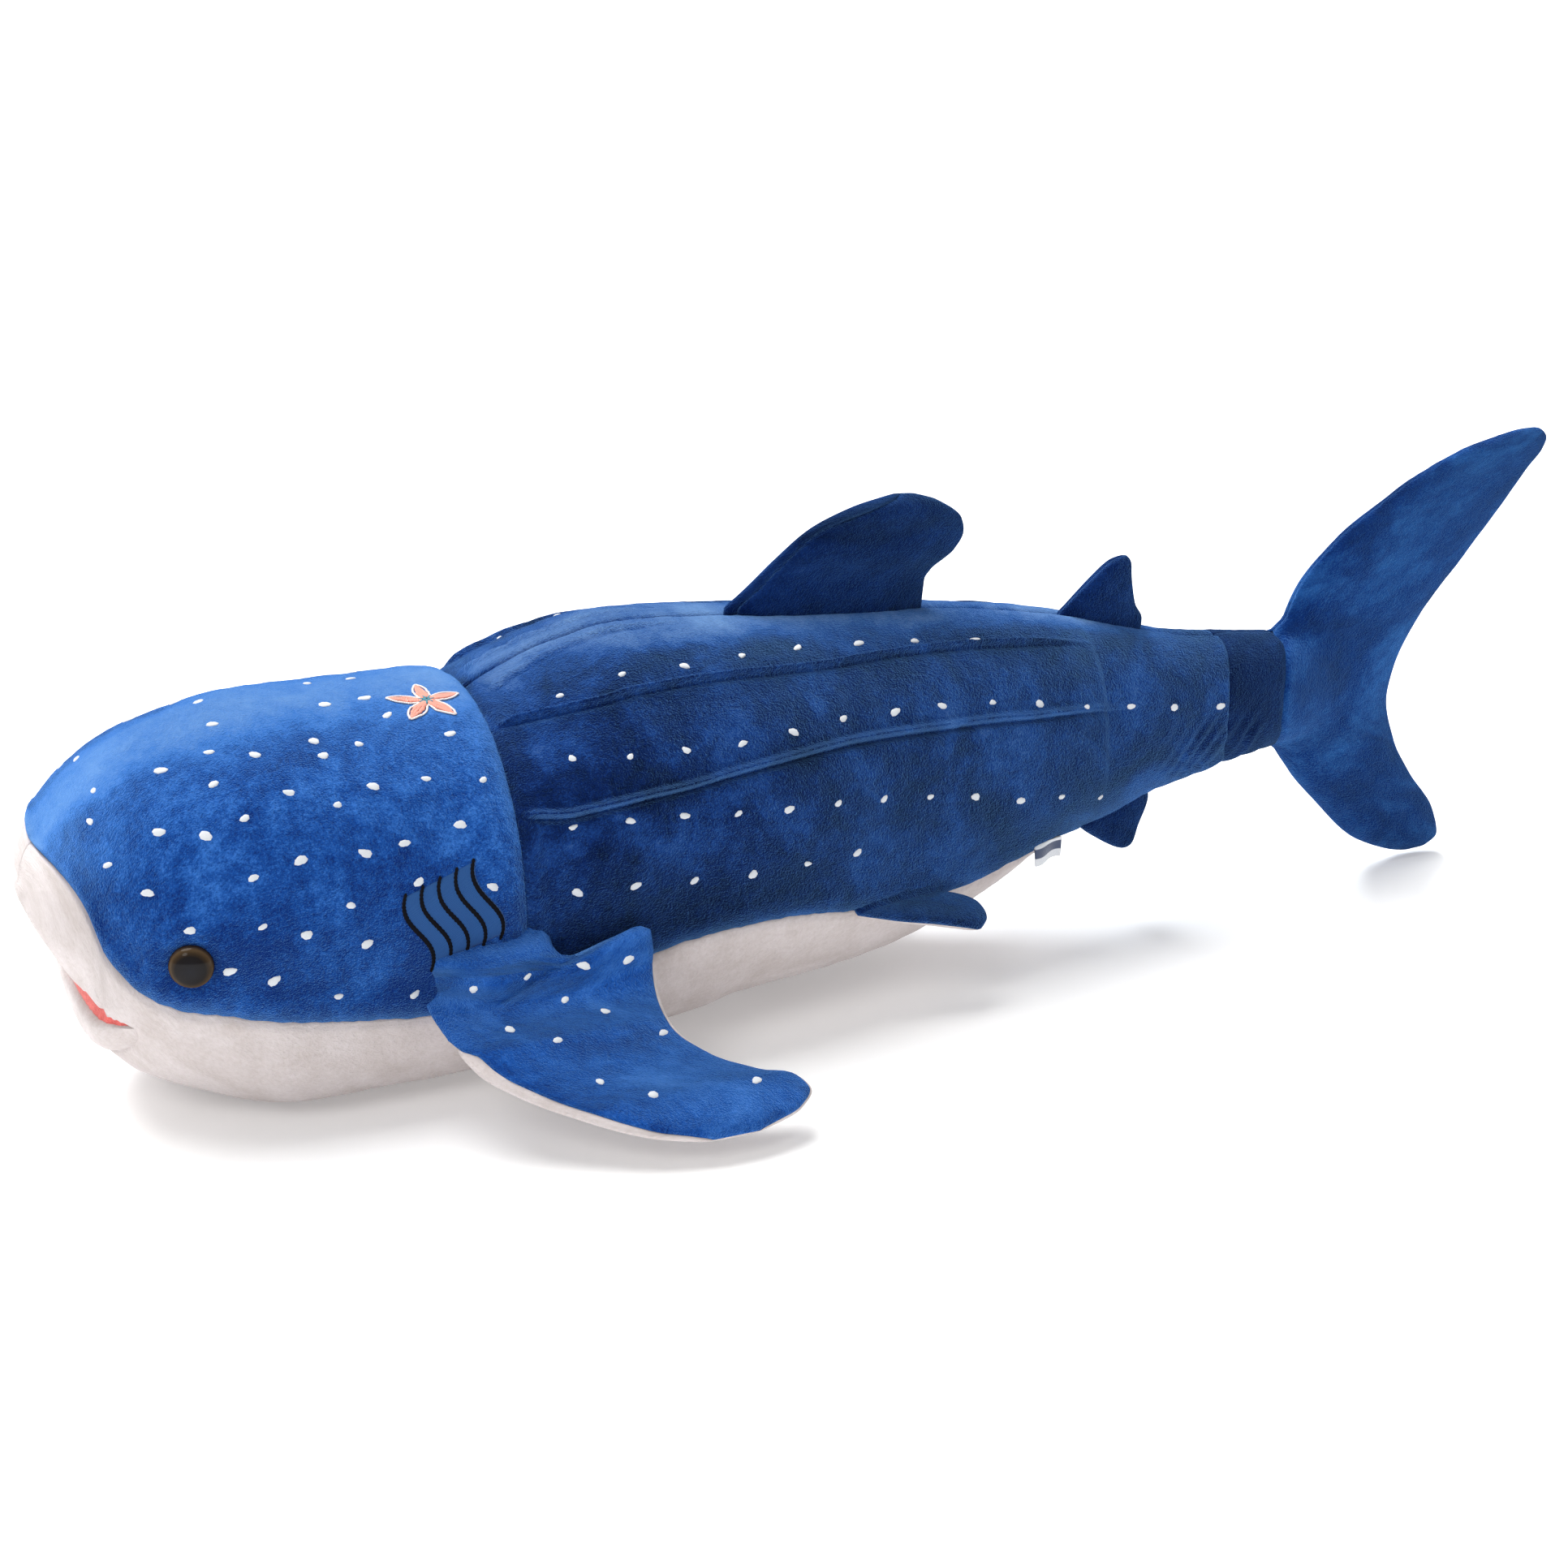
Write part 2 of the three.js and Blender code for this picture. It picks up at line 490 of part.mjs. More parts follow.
// The oval leans back a little and climbs towards the tail.
const gillOutline = Array.from({ length: GILL_PATCH.corners }, (_, k) => {
  const angle = (2 * Math.PI * k) / GILL_PATCH.corners;
  const [along, up] = [GILL_PATCH.long * Math.cos(angle), GILL_PATCH.high * Math.sin(angle)];
  return [GILL_PATCH.station + along - up / 8, GILL_PATCH.height + up + along / 4];
});
let gillLines = gillLine(0);
for (let index = 1; index < GILL.lines; index += 1) gillLines = gillLines.add(gillLine(index));
const gillBacking = raised(GAP, GAP + GILL_PATCH.thick).intersect(sideCutter(gillOutline, -HIGH, 0));
const gillThread = raised(GAP, GAP + GILL.thick).intersect(gillLines);
addPair('gill_embroidery', gillBacking.add(gillThread), THREAD);

// A five-armed starfish stitched on top of the head.
const STAR = { station: 189, y: -24, outer: 14, inner: 7, turned: 0.3, thick: 1.4 };
const starShape = new THREE.Shape(Array.from({ length: 10 }, (_, k) => {
  const reach = k % 2 ? STAR.inner : STAR.outer;
  const angle = (Math.PI * k) / 5 + STAR.turned;
  return new THREE.Vector2(atX(STAR.station) + reach * Math.cos(angle), STAR.y + reach * Math.sin(angle));
}));
const starCutter = toSolid(new THREE.ExtrudeGeometry(starShape, { depth: HIGH, bevelEnabled: false })
  .translate(0, 0, waistLine(STAR.station)));
addPiece('head_starfish_patch', raised(GAP, GAP + STAR.thick).intersect(starCutter), CORAL);

// A care label of folded satin tape, hanging from the belly seam of the tail stock.
const LABEL = { station: 503, y: -46.6, top: 65, width: 18, drop: 11, thick: 1.2, corner: 1.5 };
const labelSide = LABEL.width / 2;
const labelShape = new THREE.Shape();
labelShape.moveTo(-labelSide, 0);
labelShape.lineTo(-labelSide, -LABEL.drop + LABEL.corner);
labelShape.quadraticCurveTo(-labelSide, -LABEL.drop, -labelSide + LABEL.corner, -LABEL.drop);
labelShape.lineTo(labelSide - LABEL.corner, -LABEL.drop);
labelShape.quadraticCurveTo(labelSide, -LABEL.drop, labelSide, -LABEL.drop + LABEL.corner);
labelShape.lineTo(labelSide, 0);
const label = new THREE.Mesh(new THREE.ExtrudeGeometry(labelShape, {
  depth: LABEL.thick, bevelEnabled: false, curveSegments: 3,
}), SATIN);
label.name = 'care_label';
label.rotation.set(Math.PI / 2, 0, 0);
label.position.set(atX(LABEL.station), LABEL.y, LABEL.top);
group.add(label);

export default group;
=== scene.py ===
"""A plush whale shark: the sewn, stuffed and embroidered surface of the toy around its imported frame.

Shapes are worked out in millimetres. A station is the distance behind the snout, a turn is the angle
round the body's girth (0 on the left side, 90 degrees on top), and +Z is up. Meshes are in metres.
"""

import json
import math
import random

import bpy
import numpy as np
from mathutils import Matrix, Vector, noise
from mathutils.bvhtree import BVHTree

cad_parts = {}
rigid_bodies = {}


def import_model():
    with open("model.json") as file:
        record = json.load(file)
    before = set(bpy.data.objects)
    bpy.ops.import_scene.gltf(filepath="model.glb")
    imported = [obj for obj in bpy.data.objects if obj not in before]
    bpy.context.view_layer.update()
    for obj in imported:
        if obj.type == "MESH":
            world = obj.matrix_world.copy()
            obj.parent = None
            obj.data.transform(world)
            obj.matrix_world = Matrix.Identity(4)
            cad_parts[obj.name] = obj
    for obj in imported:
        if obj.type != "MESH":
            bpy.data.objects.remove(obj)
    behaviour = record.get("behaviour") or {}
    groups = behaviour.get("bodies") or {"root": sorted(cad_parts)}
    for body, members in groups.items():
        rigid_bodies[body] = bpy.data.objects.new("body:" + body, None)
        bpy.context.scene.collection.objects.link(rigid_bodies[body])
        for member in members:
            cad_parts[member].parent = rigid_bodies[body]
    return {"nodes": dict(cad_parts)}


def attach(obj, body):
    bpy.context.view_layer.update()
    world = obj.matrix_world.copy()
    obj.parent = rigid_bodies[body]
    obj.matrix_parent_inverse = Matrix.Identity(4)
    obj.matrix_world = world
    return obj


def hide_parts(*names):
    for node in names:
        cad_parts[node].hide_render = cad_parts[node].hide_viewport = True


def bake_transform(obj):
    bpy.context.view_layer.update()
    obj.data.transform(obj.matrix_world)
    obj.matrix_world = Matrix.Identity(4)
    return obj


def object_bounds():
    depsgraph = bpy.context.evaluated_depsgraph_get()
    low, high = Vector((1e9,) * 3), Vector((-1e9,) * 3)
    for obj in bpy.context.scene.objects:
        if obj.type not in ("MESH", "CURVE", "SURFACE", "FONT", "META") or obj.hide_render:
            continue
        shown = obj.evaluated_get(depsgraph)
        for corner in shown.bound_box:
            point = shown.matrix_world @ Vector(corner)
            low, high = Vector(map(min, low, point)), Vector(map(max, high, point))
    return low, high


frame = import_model()
cad_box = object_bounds()

MM = 0.001
SNOUT = cad_box[0][0]
WELD = 1e-4  # points closer than this, in millimetres, are one point

CLOTH = 2.2  # thickness of the pile cloth
COLLAR = 212  # station of the seam behind the head
BEND = (434, 500)  # stations between which the body passes into the tail stock; finish takes them but bends nothing
WRIST = 621  # station of the seam before the band at the wrist of the tail
WRIST_BEND = (624, 648)  # stations between which the wrist passes into the tail fin; finish takes them but bends nothing
TAIL_SEAM = 659  # station of the seam round the root of the tail fin
SIDES = {"left": 1, "right": -1}
TOP = math.pi / 2


# ---- camera, light and floor ----
def make_camera(target, azimuth, elevation, distance, lens):
    """A camera that looks at target; azimuth 0 looks along +Y."""
    turn, tilt = math.radians(azimuth), math.radians(elevation)
    back = Vector((math.sin(turn) * math.cos(tilt), -math.cos(turn) * math.cos(tilt), math.sin(tilt)))
    data = bpy.data.cameras.new("camera")
    data.lens = lens
    camera = bpy.data.objects.new("camera", data)
    camera.location = Vector(target) + back * distance
    camera.rotation_euler = back.to_track_quat("Z", "Y").to_euler()
    bpy.context.scene.collection.objects.link(camera)
    bpy.context.scene.camera = camera


def make_sun(name, direction, strength, softness, colour):
    """Light that comes from direction, with softness as its angular size in degrees."""
    data = bpy.data.lights.new(name, "SUN")
    data.energy = strength
    data.angle = math.radians(softness)
    data.color = colour
    light = bpy.data.objects.new(name, data)
    light.rotation_euler = Vector(direction).to_track_quat("Z", "Y").to_euler()
    bpy.context.scene.collection.objects.link(light)


def make_world(strength):
    world = bpy.data.worlds.new("studio")
    bpy.context.scene.world = world
    world.use_nodes = True
    background = world.node_tree.nodes["Background"]
    background.inputs["Color"].default_value = (0.97, 0.985, 1, 1)
    background.inputs["Strength"].default_value = strength


def make_floor(size):
    mesh = bpy.data.meshes.new("floor")
    corners = [(-size, -size, 0), (size, -size, 0), (size, size, 0), (-size, size, 0)]
    mesh.from_pydata(corners, [], [(0, 1, 2, 3)])
    floor = bpy.data.objects.new("floor", mesh)
    bpy.context.scene.collection.objects.link(floor)
    nodes = Nodes("floor_paint")
    nodes.finish({"Base Color": (0.93, 0.93, 0.93, 1), "Roughness": 0.9,
                  "Emission Color": (1, 1, 1, 1), "Emission Strength": 0.2})
    mesh.materials.append(nodes.material)


# ---- materials ----
def linear(red, green, blue):
    """A linear colour from the 0-255 values of a display colour."""
    return tuple((c / 255 / 12.92) if c < 11 else ((c / 255 + 0.055) / 1.055) ** 2.4
                 for c in (red, green, blue))


class Nodes:
    """Builds one material's node tree."""

    def __init__(self, name):
        self.material = bpy.data.materials.new(name)
        self.material.use_nodes = True
        self.tree = self.material.node_tree
        self.shader = self.tree.nodes["Principled BSDF"]

    def add(self, kind, inputs=(), **settings):
        node = self.tree.nodes.new(kind)
        for key, value in settings.items():
            setattr(node, key, value)
        for key, value in dict(inputs).items():
            self.put(node, key, value)
        return node

    def put(self, node, key, value):
        """Links value into a socket if it is a node's output, and otherwise sets the socket to it."""
        if isinstance(value, bpy.types.NodeSocket):
            self.tree.links.new(value, node.inputs[key])
        else:
            node.inputs[key].default_value = value

    def surface(self, scale=(1, 1, 1), offset=0.0):
        """The cloth's own coordinates, in metres along and across the cut."""
        uv = self.add("ShaderNodeUVMap", uv_map="cloth")
        place = {"Vector": uv.outputs["UV"], "Scale": scale, "Location": (offset, offset / 2, 0)}
        return self.add("ShaderNodeMapping", place).outputs["Vector"]

    def noise(self, vector, scale, detail=3.0, rough=0.55, distortion=0.0):
        inputs = {"Vector": vector, "Scale": scale, "Detail": detail, "Roughness": rough,
                  "Distortion": distortion}
        return self.add("ShaderNodeTexNoise", inputs).outputs["Fac"]

    def math(self, operation, a, b):
        return self.add("ShaderNodeMath", {0: a, 1: b}, operation=operation).outputs[0]

    def weighted(self, *parts):
        """The sum of (value, weight) pairs."""
        total = self.math("MULTIPLY", *parts[0])
        for value, weight in parts[1:]:
            total = self.math("ADD", total, self.math("MULTIPLY", value, weight))
        return total

    def ramp(self, value, *stops):
        """Colours by position, from (position, (red, green, blue)) pairs."""
        node = self.add("ShaderNodeValToRGB", {"Fac": value})
        points = node.color_ramp.elements
        while len(points) < len(stops):
            points.new(0.5)
        for point, (position, colour) in zip(points, stops):
            point.position = position
            point.color = (*colour, 1)
        return node.outputs["Color"]

    def bump(self, height, strength, distance):
        inputs = {"Height": height, "Strength": strength, "Distance": distance}
        return self.add("ShaderNodeBump", inputs).outputs["Normal"]

    def finish(self, inputs):
        for key, value in inputs.items():
            self.put(self.shader, key, value)


PAINTED_TOP_LIGHT = (0.34, 0.57, 0.90)  # the light-blue tone painted on the tops, for the light and sheen they catch
SKY = (0.20, 0.48, 1.0, 1)  # the tint of the pile's sheen


def pile(name, dark, middle, light, sheen, patches=0.55, offset=0.0, spread=0.115):
    """Short crushed pile: patches where the pile lies differently, clumps, fine hairs, and painted light
    and shade.
    """
    nodes = Nodes(name)
    dark, middle, light = linear(*dark), linear(*middle), linear(*light)
    cloth = nodes.surface(offset=offset)
    hairs = nodes.noise(nodes.surface((0.8, 1, 1), offset), 1400, 3)
    clumps = nodes.noise(nodes.surface((0.85, 1, 1), offset), 640, 3, 0.65)
    tufts = nodes.noise(cloth, 130, 4, 0.6, 0.1)
    nap_and_painted_light = nodes.noise(cloth, 24, 4, 0.55, 0.6)
    # painted light and shade carried by the cover's points: paler on top where light falls, darker low on
    # the sides
    raised = nodes.add("ShaderNodeAttribute", attribute_name="nap_and_painted_light").outputs["Fac"]
    rest = 1 - patches
    shade = nodes.weighted((nap_and_painted_light, patches), (tufts, rest * 0.35), (clumps, rest * 0.35),
                           (hairs, rest * 0.3), (raised, 0.27))
    # the painted light tone that the tops are made paler towards
    pale = [0.55 * own + 0.45 * sky for own, sky in zip(light, PAINTED_TOP_LIGHT)]
    colour = nodes.ramp(shade, (0.5 - spread, dark), (0.5, middle), (0.5 + spread, light), (0.82, pale))
    height = nodes.weighted((hairs, 0.8), (clumps, 0.7), (tufts, 0.5))
    nodes.finish({
        "Base Color": colour, "Roughness": 0.95, "Specular IOR Level": 0.02,
        "Sheen Weight": sheen, "Sheen Roughness": 0.36, "Sheen Tint": SKY,
        "Normal": nodes.bump(height, 1.0, 0.0023),
    })
    return nodes.material


def fleece(name, shade, warm):
    """The white short pile of the belly, with faint warm shadows in its pile."""
    nodes = Nodes(name)
    hairs = nodes.noise(nodes.surface((0.5, 1, 1)), 1600, 2)
    clumps = nodes.noise(nodes.surface(), 420, 3, 0.6, 0.4)
    nap_and_painted_light = nodes.noise(nodes.surface(), 45, 3, 0.5, 0.6)
    tone = nodes.weighted((nap_and_painted_light, 0.5), (clumps, 0.35), (hairs, 0.15))
    colour = nodes.ramp(tone, (0.34, linear(*warm)), (0.62, linear(*shade)))
    height = nodes.weighted((hairs, 0.6), (clumps, 1.0))
    nodes.finish({
        "Base Color": colour, "Roughness": 0.95, "Specular IOR Level": 0.15,
        "Sheen Weight": 0.25, "Sheen Roughness": 0.5, "Sheen Tint": (1, 0.98, 0.97, 1),
        "Normal": nodes.bump(height, 0.6, 0.0014),
    })
    return nodes.material


def thread(name, low, high, pitch, rough=0.5, sheen=0.3):
    """Satin stitching: parallel threads across the cloth coordinates' first axis."""
    nodes = Nodes(name)
    wave_inputs = {"Vector": nodes.surface(), "Scale": 0.5 / (pitch * MM), "Distortion": 1.2, "Detail": 1}
    wave = nodes.add("ShaderNodeTexWave", wave_inputs, bands_direction="X").outputs["Fac"]
    fuzz = nodes.noise(nodes.surface(), 2500, 2)
    tone = nodes.weighted((wave, 0.7), (fuzz, 0.3))
    nodes.finish({
        "Base Color": nodes.ramp(tone, (0.2, linear(*low)), (0.75, linear(*high))), "Roughness": rough,
        "Sheen Weight": sheen, "Specular IOR Level": 0.12,
        "Normal": nodes.bump(tone, 0.6, 0.0004),
    })
    return nodes.material


def eye_plastic():
    """Clear amber plastic over a black pupil: the rim glows brown and the middle is almost black."""
    nodes = Nodes("eye_resin")
    reach = nodes.add("ShaderNodeAttribute", attribute_name="reach").outputs["Fac"]
    grain = nodes.noise(nodes.add("ShaderNodeTexCoord").outputs["Object"], 300, 2)
    edge = nodes.weighted((reach, 0.97), (grain, 0.03))
    colour = nodes.ramp(edge, (0.0, (0.013, 0.013, 0.017)), (0.66, (0.012, 0.010, 0.010)),
                        (0.80, (0.036, 0.023, 0.013)), (0.92, (0.080, 0.050, 0.026)),
                        (0.985, (0.020, 0.013, 0.010)))
    nodes.finish({
        "Base Color": colour, "Roughness": 0.4, "Specular IOR Level": 0.0,
        "Coat Weight": 0.2, "Coat Roughness": 0.07,
        "Normal": nodes.bump(grain, 0.04, 0.0003),
    })
    return nodes.material


def washer_plastic():
    nodes = Nodes("washer_plastic")
    grain = nodes.noise(nodes.add("ShaderNodeTexCoord").outputs["Object"], 900, 3)
    colour = nodes.ramp(grain, (0.3, (0.70, 0.70, 0.68)), (0.7, (0.82, 0.82, 0.80)))
    nodes.finish({"Base Color": colour, "Roughness": 0.45, "Normal": nodes.bump(grain, 0.2, 0.0002)})
    return nodes.material


def satin():
    """Woven satin tape: fine warp threads with a soft shine."""
    nodes = Nodes("label_tape")
    inputs = {"Vector": nodes.surface(), "Scale": 900, "Distortion": 0.4}
    weave = nodes.add("ShaderNodeTexWave", inputs, bands_direction="Y").outputs["Fac"]
    fuzz = nodes.noise(nodes.surface(), 1200, 2)
    tone = nodes.weighted((weave, 0.6), (fuzz, 0.4))
    tape = nodes.ramp(tone, (0.2, (0.60, 0.62, 0.67)), (0.8, (0.84, 0.85, 0.88)))
    down = nodes.add("ShaderNodeSeparateXYZ", {"Vector": nodes.surface()}).outputs["Y"]
    leaf = nodes.math("MULTIPLY", nodes.math("ABSOLUTE", down, 0.0), 1 / 0.011)
    band = nodes.ramp(leaf, (0.34, (0, 0, 0)), (0.38, (1, 1, 1)), (0.78, (1, 1, 1)), (0.82, (0, 0, 0)))
    colour = nodes.add("ShaderNodeMixRGB", {"Fac": band, "Color1": tape, "Color2": (0.03, 0.05, 0.12, 1)})
    nodes.finish({
        "Base Color": colour.outputs["Color"],
        "Roughness": 0.38, "Sheen Weight": 0.3, "Normal": nodes.bump(tone, 0.35, 0.0003),
    })
    return nodes.material


# ---- general shape helpers ----
def profile(*points):
    """A smooth curve through (position, value) pairs that never overshoots them."""
    places, values = np.array(points, float).T
    rise = np.diff(values) / np.diff(places)
    before, after = rise[:-1], rise[1:]
    together = before * after > 0
    total = np.where(together, before + after, 1)
    inner = np.where(together, 2 * before * after / total, 0)
    slopes = np.concatenate([rise[:1], inner, rise[-1:]])

    def at(place):
        place = np.clip(np.asarray(place, float), places[0], places[-1])
        i = np.clip(np.searchsorted(places, place, side="right") - 1, 0, len(places) - 2)
        width = places[i + 1] - places[i]
        t = (place - places[i]) / width
        start = values[i] * (2 * t**3 - 3 * t**2 + 1) + slopes[i] * width * (t**3 - 2 * t**2 + t)
        return start + values[i + 1] * (3 * t**2 - 2 * t**3) + slopes[i + 1] * width * (t**3 - t**2)

    return at


def power(value, exponent):
    return np.sign(value) * np.abs(value) ** exponent


def smooth(low, high, value):
    """0 below low, 1 above high, and an S-curve between them."""
    t = np.clip((np.asarray(value, float) - low) / (high - low), 0, 1)
    return t * t * (3 - 2 * t)


def hill(distance, width):
    return np.exp(-((distance / width) ** 2))


def lumps(points, size, seed):
    """Smooth noise between about -1 and 1, with features of that size."""
    flat = points.reshape(-1, 3) / size + seed * 7.31
    return np.array([noise.noise(p) for p in flat]).reshape(points.shape[:-1])


def plump(points, seed=1, coarse=1.1, middle=0.45, fine=0.2):
    """The uneven rise and fall of stuffed pile cloth; covers of one seed run on into each other."""
    return (coarse * lumps(points, 42, seed) + middle * lumps(points, 11, seed + 1)
            + fine * lumps(points, 3.6, seed + 2))


def unit(vectors):
    length = np.linalg.norm(vectors, axis=-1, keepdims=True)
    return vectors / np.maximum(length, 1e-9)


def grid_normals(points, centre):
    """Normals of a grid of points, facing away from centre."""
    normals = np.cross(np.gradient(points, axis=0), np.gradient(points, axis=1))
    if (normals * (points - centre)).sum() < 0:
        normals = -normals
    return unit(normals)


def stations(start, end, first, step):
    """Stations whose spacing grows from first to step."""
    found, gap = [start], first
    while found[-1] + gap < end - step / 3:
        found.append(found[-1] + gap)
        gap = min(gap * 1.2, step)
    return np.array([*found, end])


def welded(points, faces):
    """Joins points that coincide, and drops the faces that vanish or fold onto each other."""
    keys = np.round(points / WELD).astype(np.int64)
    _, first, place = np.unique(keys, axis=0, return_index=True, return_inverse=True)
    faces = place.reshape(-1)[faces]
    ordered = np.sort(faces, axis=1)
    repeated = np.diff(ordered, axis=1, prepend=-1) == 0
    ordered[repeated] = -1
    ordered.sort(axis=1)
    solid = repeated.sum(axis=1) < 2
    faces, ordered = faces[solid], ordered[solid]
    _, kind, count = np.unique(ordered, axis=0, return_inverse=True, return_counts=True)
    return first, faces[count[kind.reshape(-1)] == 1]


def volume(points, faces):
    a, b, c, d = (points[faces[:, i]] for i in range(4))
    return float((np.cross(a, b) * c).sum() + (np.cross(a, c) * d).sum()) / 6


def rings(faces):
    """The faces as lists, in which a corner that is given twice counts once."""
    for face in faces.tolist():
        ring = [v for i, v in enumerate(face) if v != face[i - 1]]
        if len(set(ring)) == len(ring):
            yield ring


def add_mesh(name, points, faces, material, cloth, marks=None):
    """A smooth-shaded object from points in millimetres, with its cloth coordinates in metres."""
    first, faces = welded(points, np.asarray(faces))
    points, cloth = points[first], cloth[first]
    if volume(points, faces) < 0:
        faces = faces[:, ::-1]
    mesh = bpy.data.meshes.new(name)
    mesh.from_pydata((points * MM + [SNOUT, 0, 0]).tolist(), [], list(rings(faces)))
    mesh.polygons.foreach_set("use_smooth", [True] * len(mesh.polygons))
    layer = mesh.uv_layers.new(name="cloth")
    corners = np.empty(len(mesh.loops), int)
    mesh.loops.foreach_get("vertex_index", corners)
    layer.data.foreach_set("uv", cloth[corners].astype(np.float32).ravel())
    if marks is not None:
        mesh.attributes.new("reach", "FLOAT", "POINT").data.foreach_set("value", marks[first])
    mesh.materials.append(material)
    piece = bpy.data.objects.new(name, mesh)
    bpy.context.scene.collection.objects.link(piece)
    return piece


def quads(index):
    corners = [index[:-1, :-1], index[1:, :-1], index[1:, 1:], index[:-1, 1:]]
    return np.stack(corners, -1).reshape(-1, 4)


def strip(a, b):
    return np.stack([a[:-1], a[1:], b[1:], b[:-1]], -1)


def cloth_lengths(points):
    """Distances along and across a grid, in metres."""
    along = np.linalg.norm(np.diff(points, axis=0, prepend=points[:1]), axis=-1)
    across = np.linalg.norm(np.diff(points, axis=1, prepend=points[:, :1]), axis=-1)
    v = np.cumsum(across, axis=1)
    u = np.cumsum(along.mean(axis=1))[:, None] + 0 * v
    return np.stack([u, v - v.mean(axis=1, keepdims=True)], -1) * MM


def shell(name, outer, inner, material, ring=False):
    """A closed piece of cloth between an outer and an inner grid; a ring closes on itself."""
    rows, columns = outer.shape[:2]
    index = np.arange(rows * columns).reshape(rows, columns)
    if ring:
        index = np.hstack([index, index[:, :1]])
    back = index + rows * columns
    faces = [quads(index), quads(back)[:, ::-1], strip(index[0], back[0]), strip(back[-1], index[-1])]
    if not ring:
        faces += [strip(back[:, 0], index[:, 0]), strip(index[:, -1], back[:, -1])]
    points = np.concatenate([outer.reshape(-1, 3), inner.reshape(-1, 3)])
    cloth = cloth_lengths(outer).reshape(-1, 2)
    return add_mesh(name, points, np.concatenate(faces), material, np.concatenate([cloth, cloth]))


def capped(grid, tips):
    """Points and faces of a solid from a grid of rings and the two tips that shut its ends."""
    rows, columns = grid.shape[:2]
    index = np.arange(rows * columns).reshape(rows, columns)
    index = np.hstack([index, index[:, :1]])
    faces = [quads(index)]
    for tip, line in enumerate((index[0], index[-1][::-1]), rows * columns):
        faces.append(strip(line, tip + 0 * line))
    return np.concatenate([grid.reshape(-1, 3), tips]), np.concatenate(faces)


def solid(name, grid, material, marks=None):
    """A closed solid from a grid of rings, with its first and last ring shut."""
    points, faces = capped(grid, [grid[0].mean(axis=0), grid[-1].mean(axis=0)])
    return add_mesh(name, points, faces, material, points[:, [0, 2]] * MM, marks)


def row(station, y=0.0, z=110.0):
    """A point of the frame, in metres, from a station and millimetres."""
    return (SNOUT + station * MM, y * MM, z * MM)


def to_mm(point):
    return [(point[0] - SNOUT) / MM, point[1] / MM, point[2] / MM]


def paint_light_and_shade(piece, low, high, start, end, shade=0.0):
    """Marks the cloth with painted light on the top of the body, which makes it paler, and painted shade
    low on its sides, which makes it darker.
    """
    points = np.empty(3 * len(piece.data.vertices))
    piece.data.vertices.foreach_get("co", points)
    station, _, z = (points.reshape(-1, 3) - [SNOUT, 0, 0]).T / MM
    share = (z - waist_line(station)) / (top_line(station) - waist_line(station))
    along = smooth(start - 8, start + 8, station) * (1 - smooth(end - 60, end, station))
    # painted light on the top, painted shade low on the sides
    marks = smooth(low, high, share) * along - shade * (1 - smooth(0.0, 0.6, share))
    nap_and_painted_light = piece.data.attributes.new("nap_and_painted_light", "FLOAT", "POINT")
    nap_and_painted_light.data.foreach_set("value", marks.astype(np.float32))


def finish(piece, bodies, bend=None, replaces=()):
    """Puts a piece on its body, or, given two bodies, leaves it where it is on neither.
    """
    if len(bodies) == 1:
        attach(piece, bodies[0])
    else:
        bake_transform(piece)
    if replaces:
        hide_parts(*replaces)
    return piece


# ---- the stuffed body ----
# the body's outline, each as (station, millimetres)
half_width = profile((0, 10), (3, 27), (10, 45), (20, 58), (35, 69), (60, 80), (100, 88), (150, 91),
                     (212, 91), (260, 94), (310, 93), (360, 87), (430, 70), (480, 58), (530, 47),
                     (600, 35), (658, 24.5), (690, 11), (700, 7))
top_line = profile((0, 114), (3, 125), (9, 135), (22, 151), (38, 164), (57, 174), (79, 179.5),
                   (102, 183), (155, 184), (190, 182), (212, 180), (223, 183), (234, 187), (246, 191.5),
                   (258, 195), (282, 199.5), (307, 199), (332, 197), (357, 194), (453, 185), (480, 181),
                   (503, 177), (527, 171), (579, 156), (603, 150), (623, 147), (658, 143), (700, 139))
bottom_line = profile((0, 104), (2, 98), (11, 80), (18, 70), (23, 58), (25, 42), (31, 29), (44, 17),
                      (66, 6), (88, 0), (108, -3), (275, -4), (305, -1), (330, 4), (362, 7), (392, 9),
                      (430, 15), (452, 21), (484, 34), (503, 45), (527, 54), (550, 59), (587, 71),
                      (617, 76), (658, 82), (700, 88))
waist_line = profile((0, 109), (30, 105), (60, 98), (100, 90), (200, 88), (300, 90), (400, 90),
                     (480, 98), (530, 107), (600, 111), (700, 112))
lower_power = profile((0, 2.2), (60, 2.4), (110, 3), (220, 2.7), (280, 2.1), (700, 2.1))
UPPER_POWER = 2.25  # an exponent of 2 makes the body's cut an ellipse, and more makes it squarer
# the height at which the blue cloth is sewn to the white
seam_line = profile((0, 134), (6, 132.5), (9.6, 132), (13, 129.5), (19, 120), (26, 97), (38, 80),
                    (48, 73), (70, 67), (98, 62), (127, 57), (165, 53), (210, 53), (240, 56),
                    (264, 62.5), (284, 68), (304, 71), (338, 70), (386, 62), (457, 53), (483, 57),
                    (507, 60), (530, 57), (550, 48))


def grounded(height):
    """Keeps the belly a little above the floor, with a soft edge to its flat."""
    return (height + np.sqrt(height**2 + 9)) / 2


def girth_reach(station, upper):
    """How far the body's cut goes above the waist line, or below it."""
    waist = waist_line(station)
    return np.where(upper, top_line(station) - waist, waist - bottom_line(station))


def skin(station, turn):
    """The body's smooth surface under its cloth."""
    upper = np.sin(turn) >= 0
    exponent = 2 / np.where(upper, UPPER_POWER, lower_power(station))
    y = -half_width(station) * power(np.cos(turn), exponent)
    z = waist_line(station) + girth_reach(station, upper) * power(np.sin(turn), exponent)
    return np.stack([station + 0 * turn, y, grounded(z)], -1)


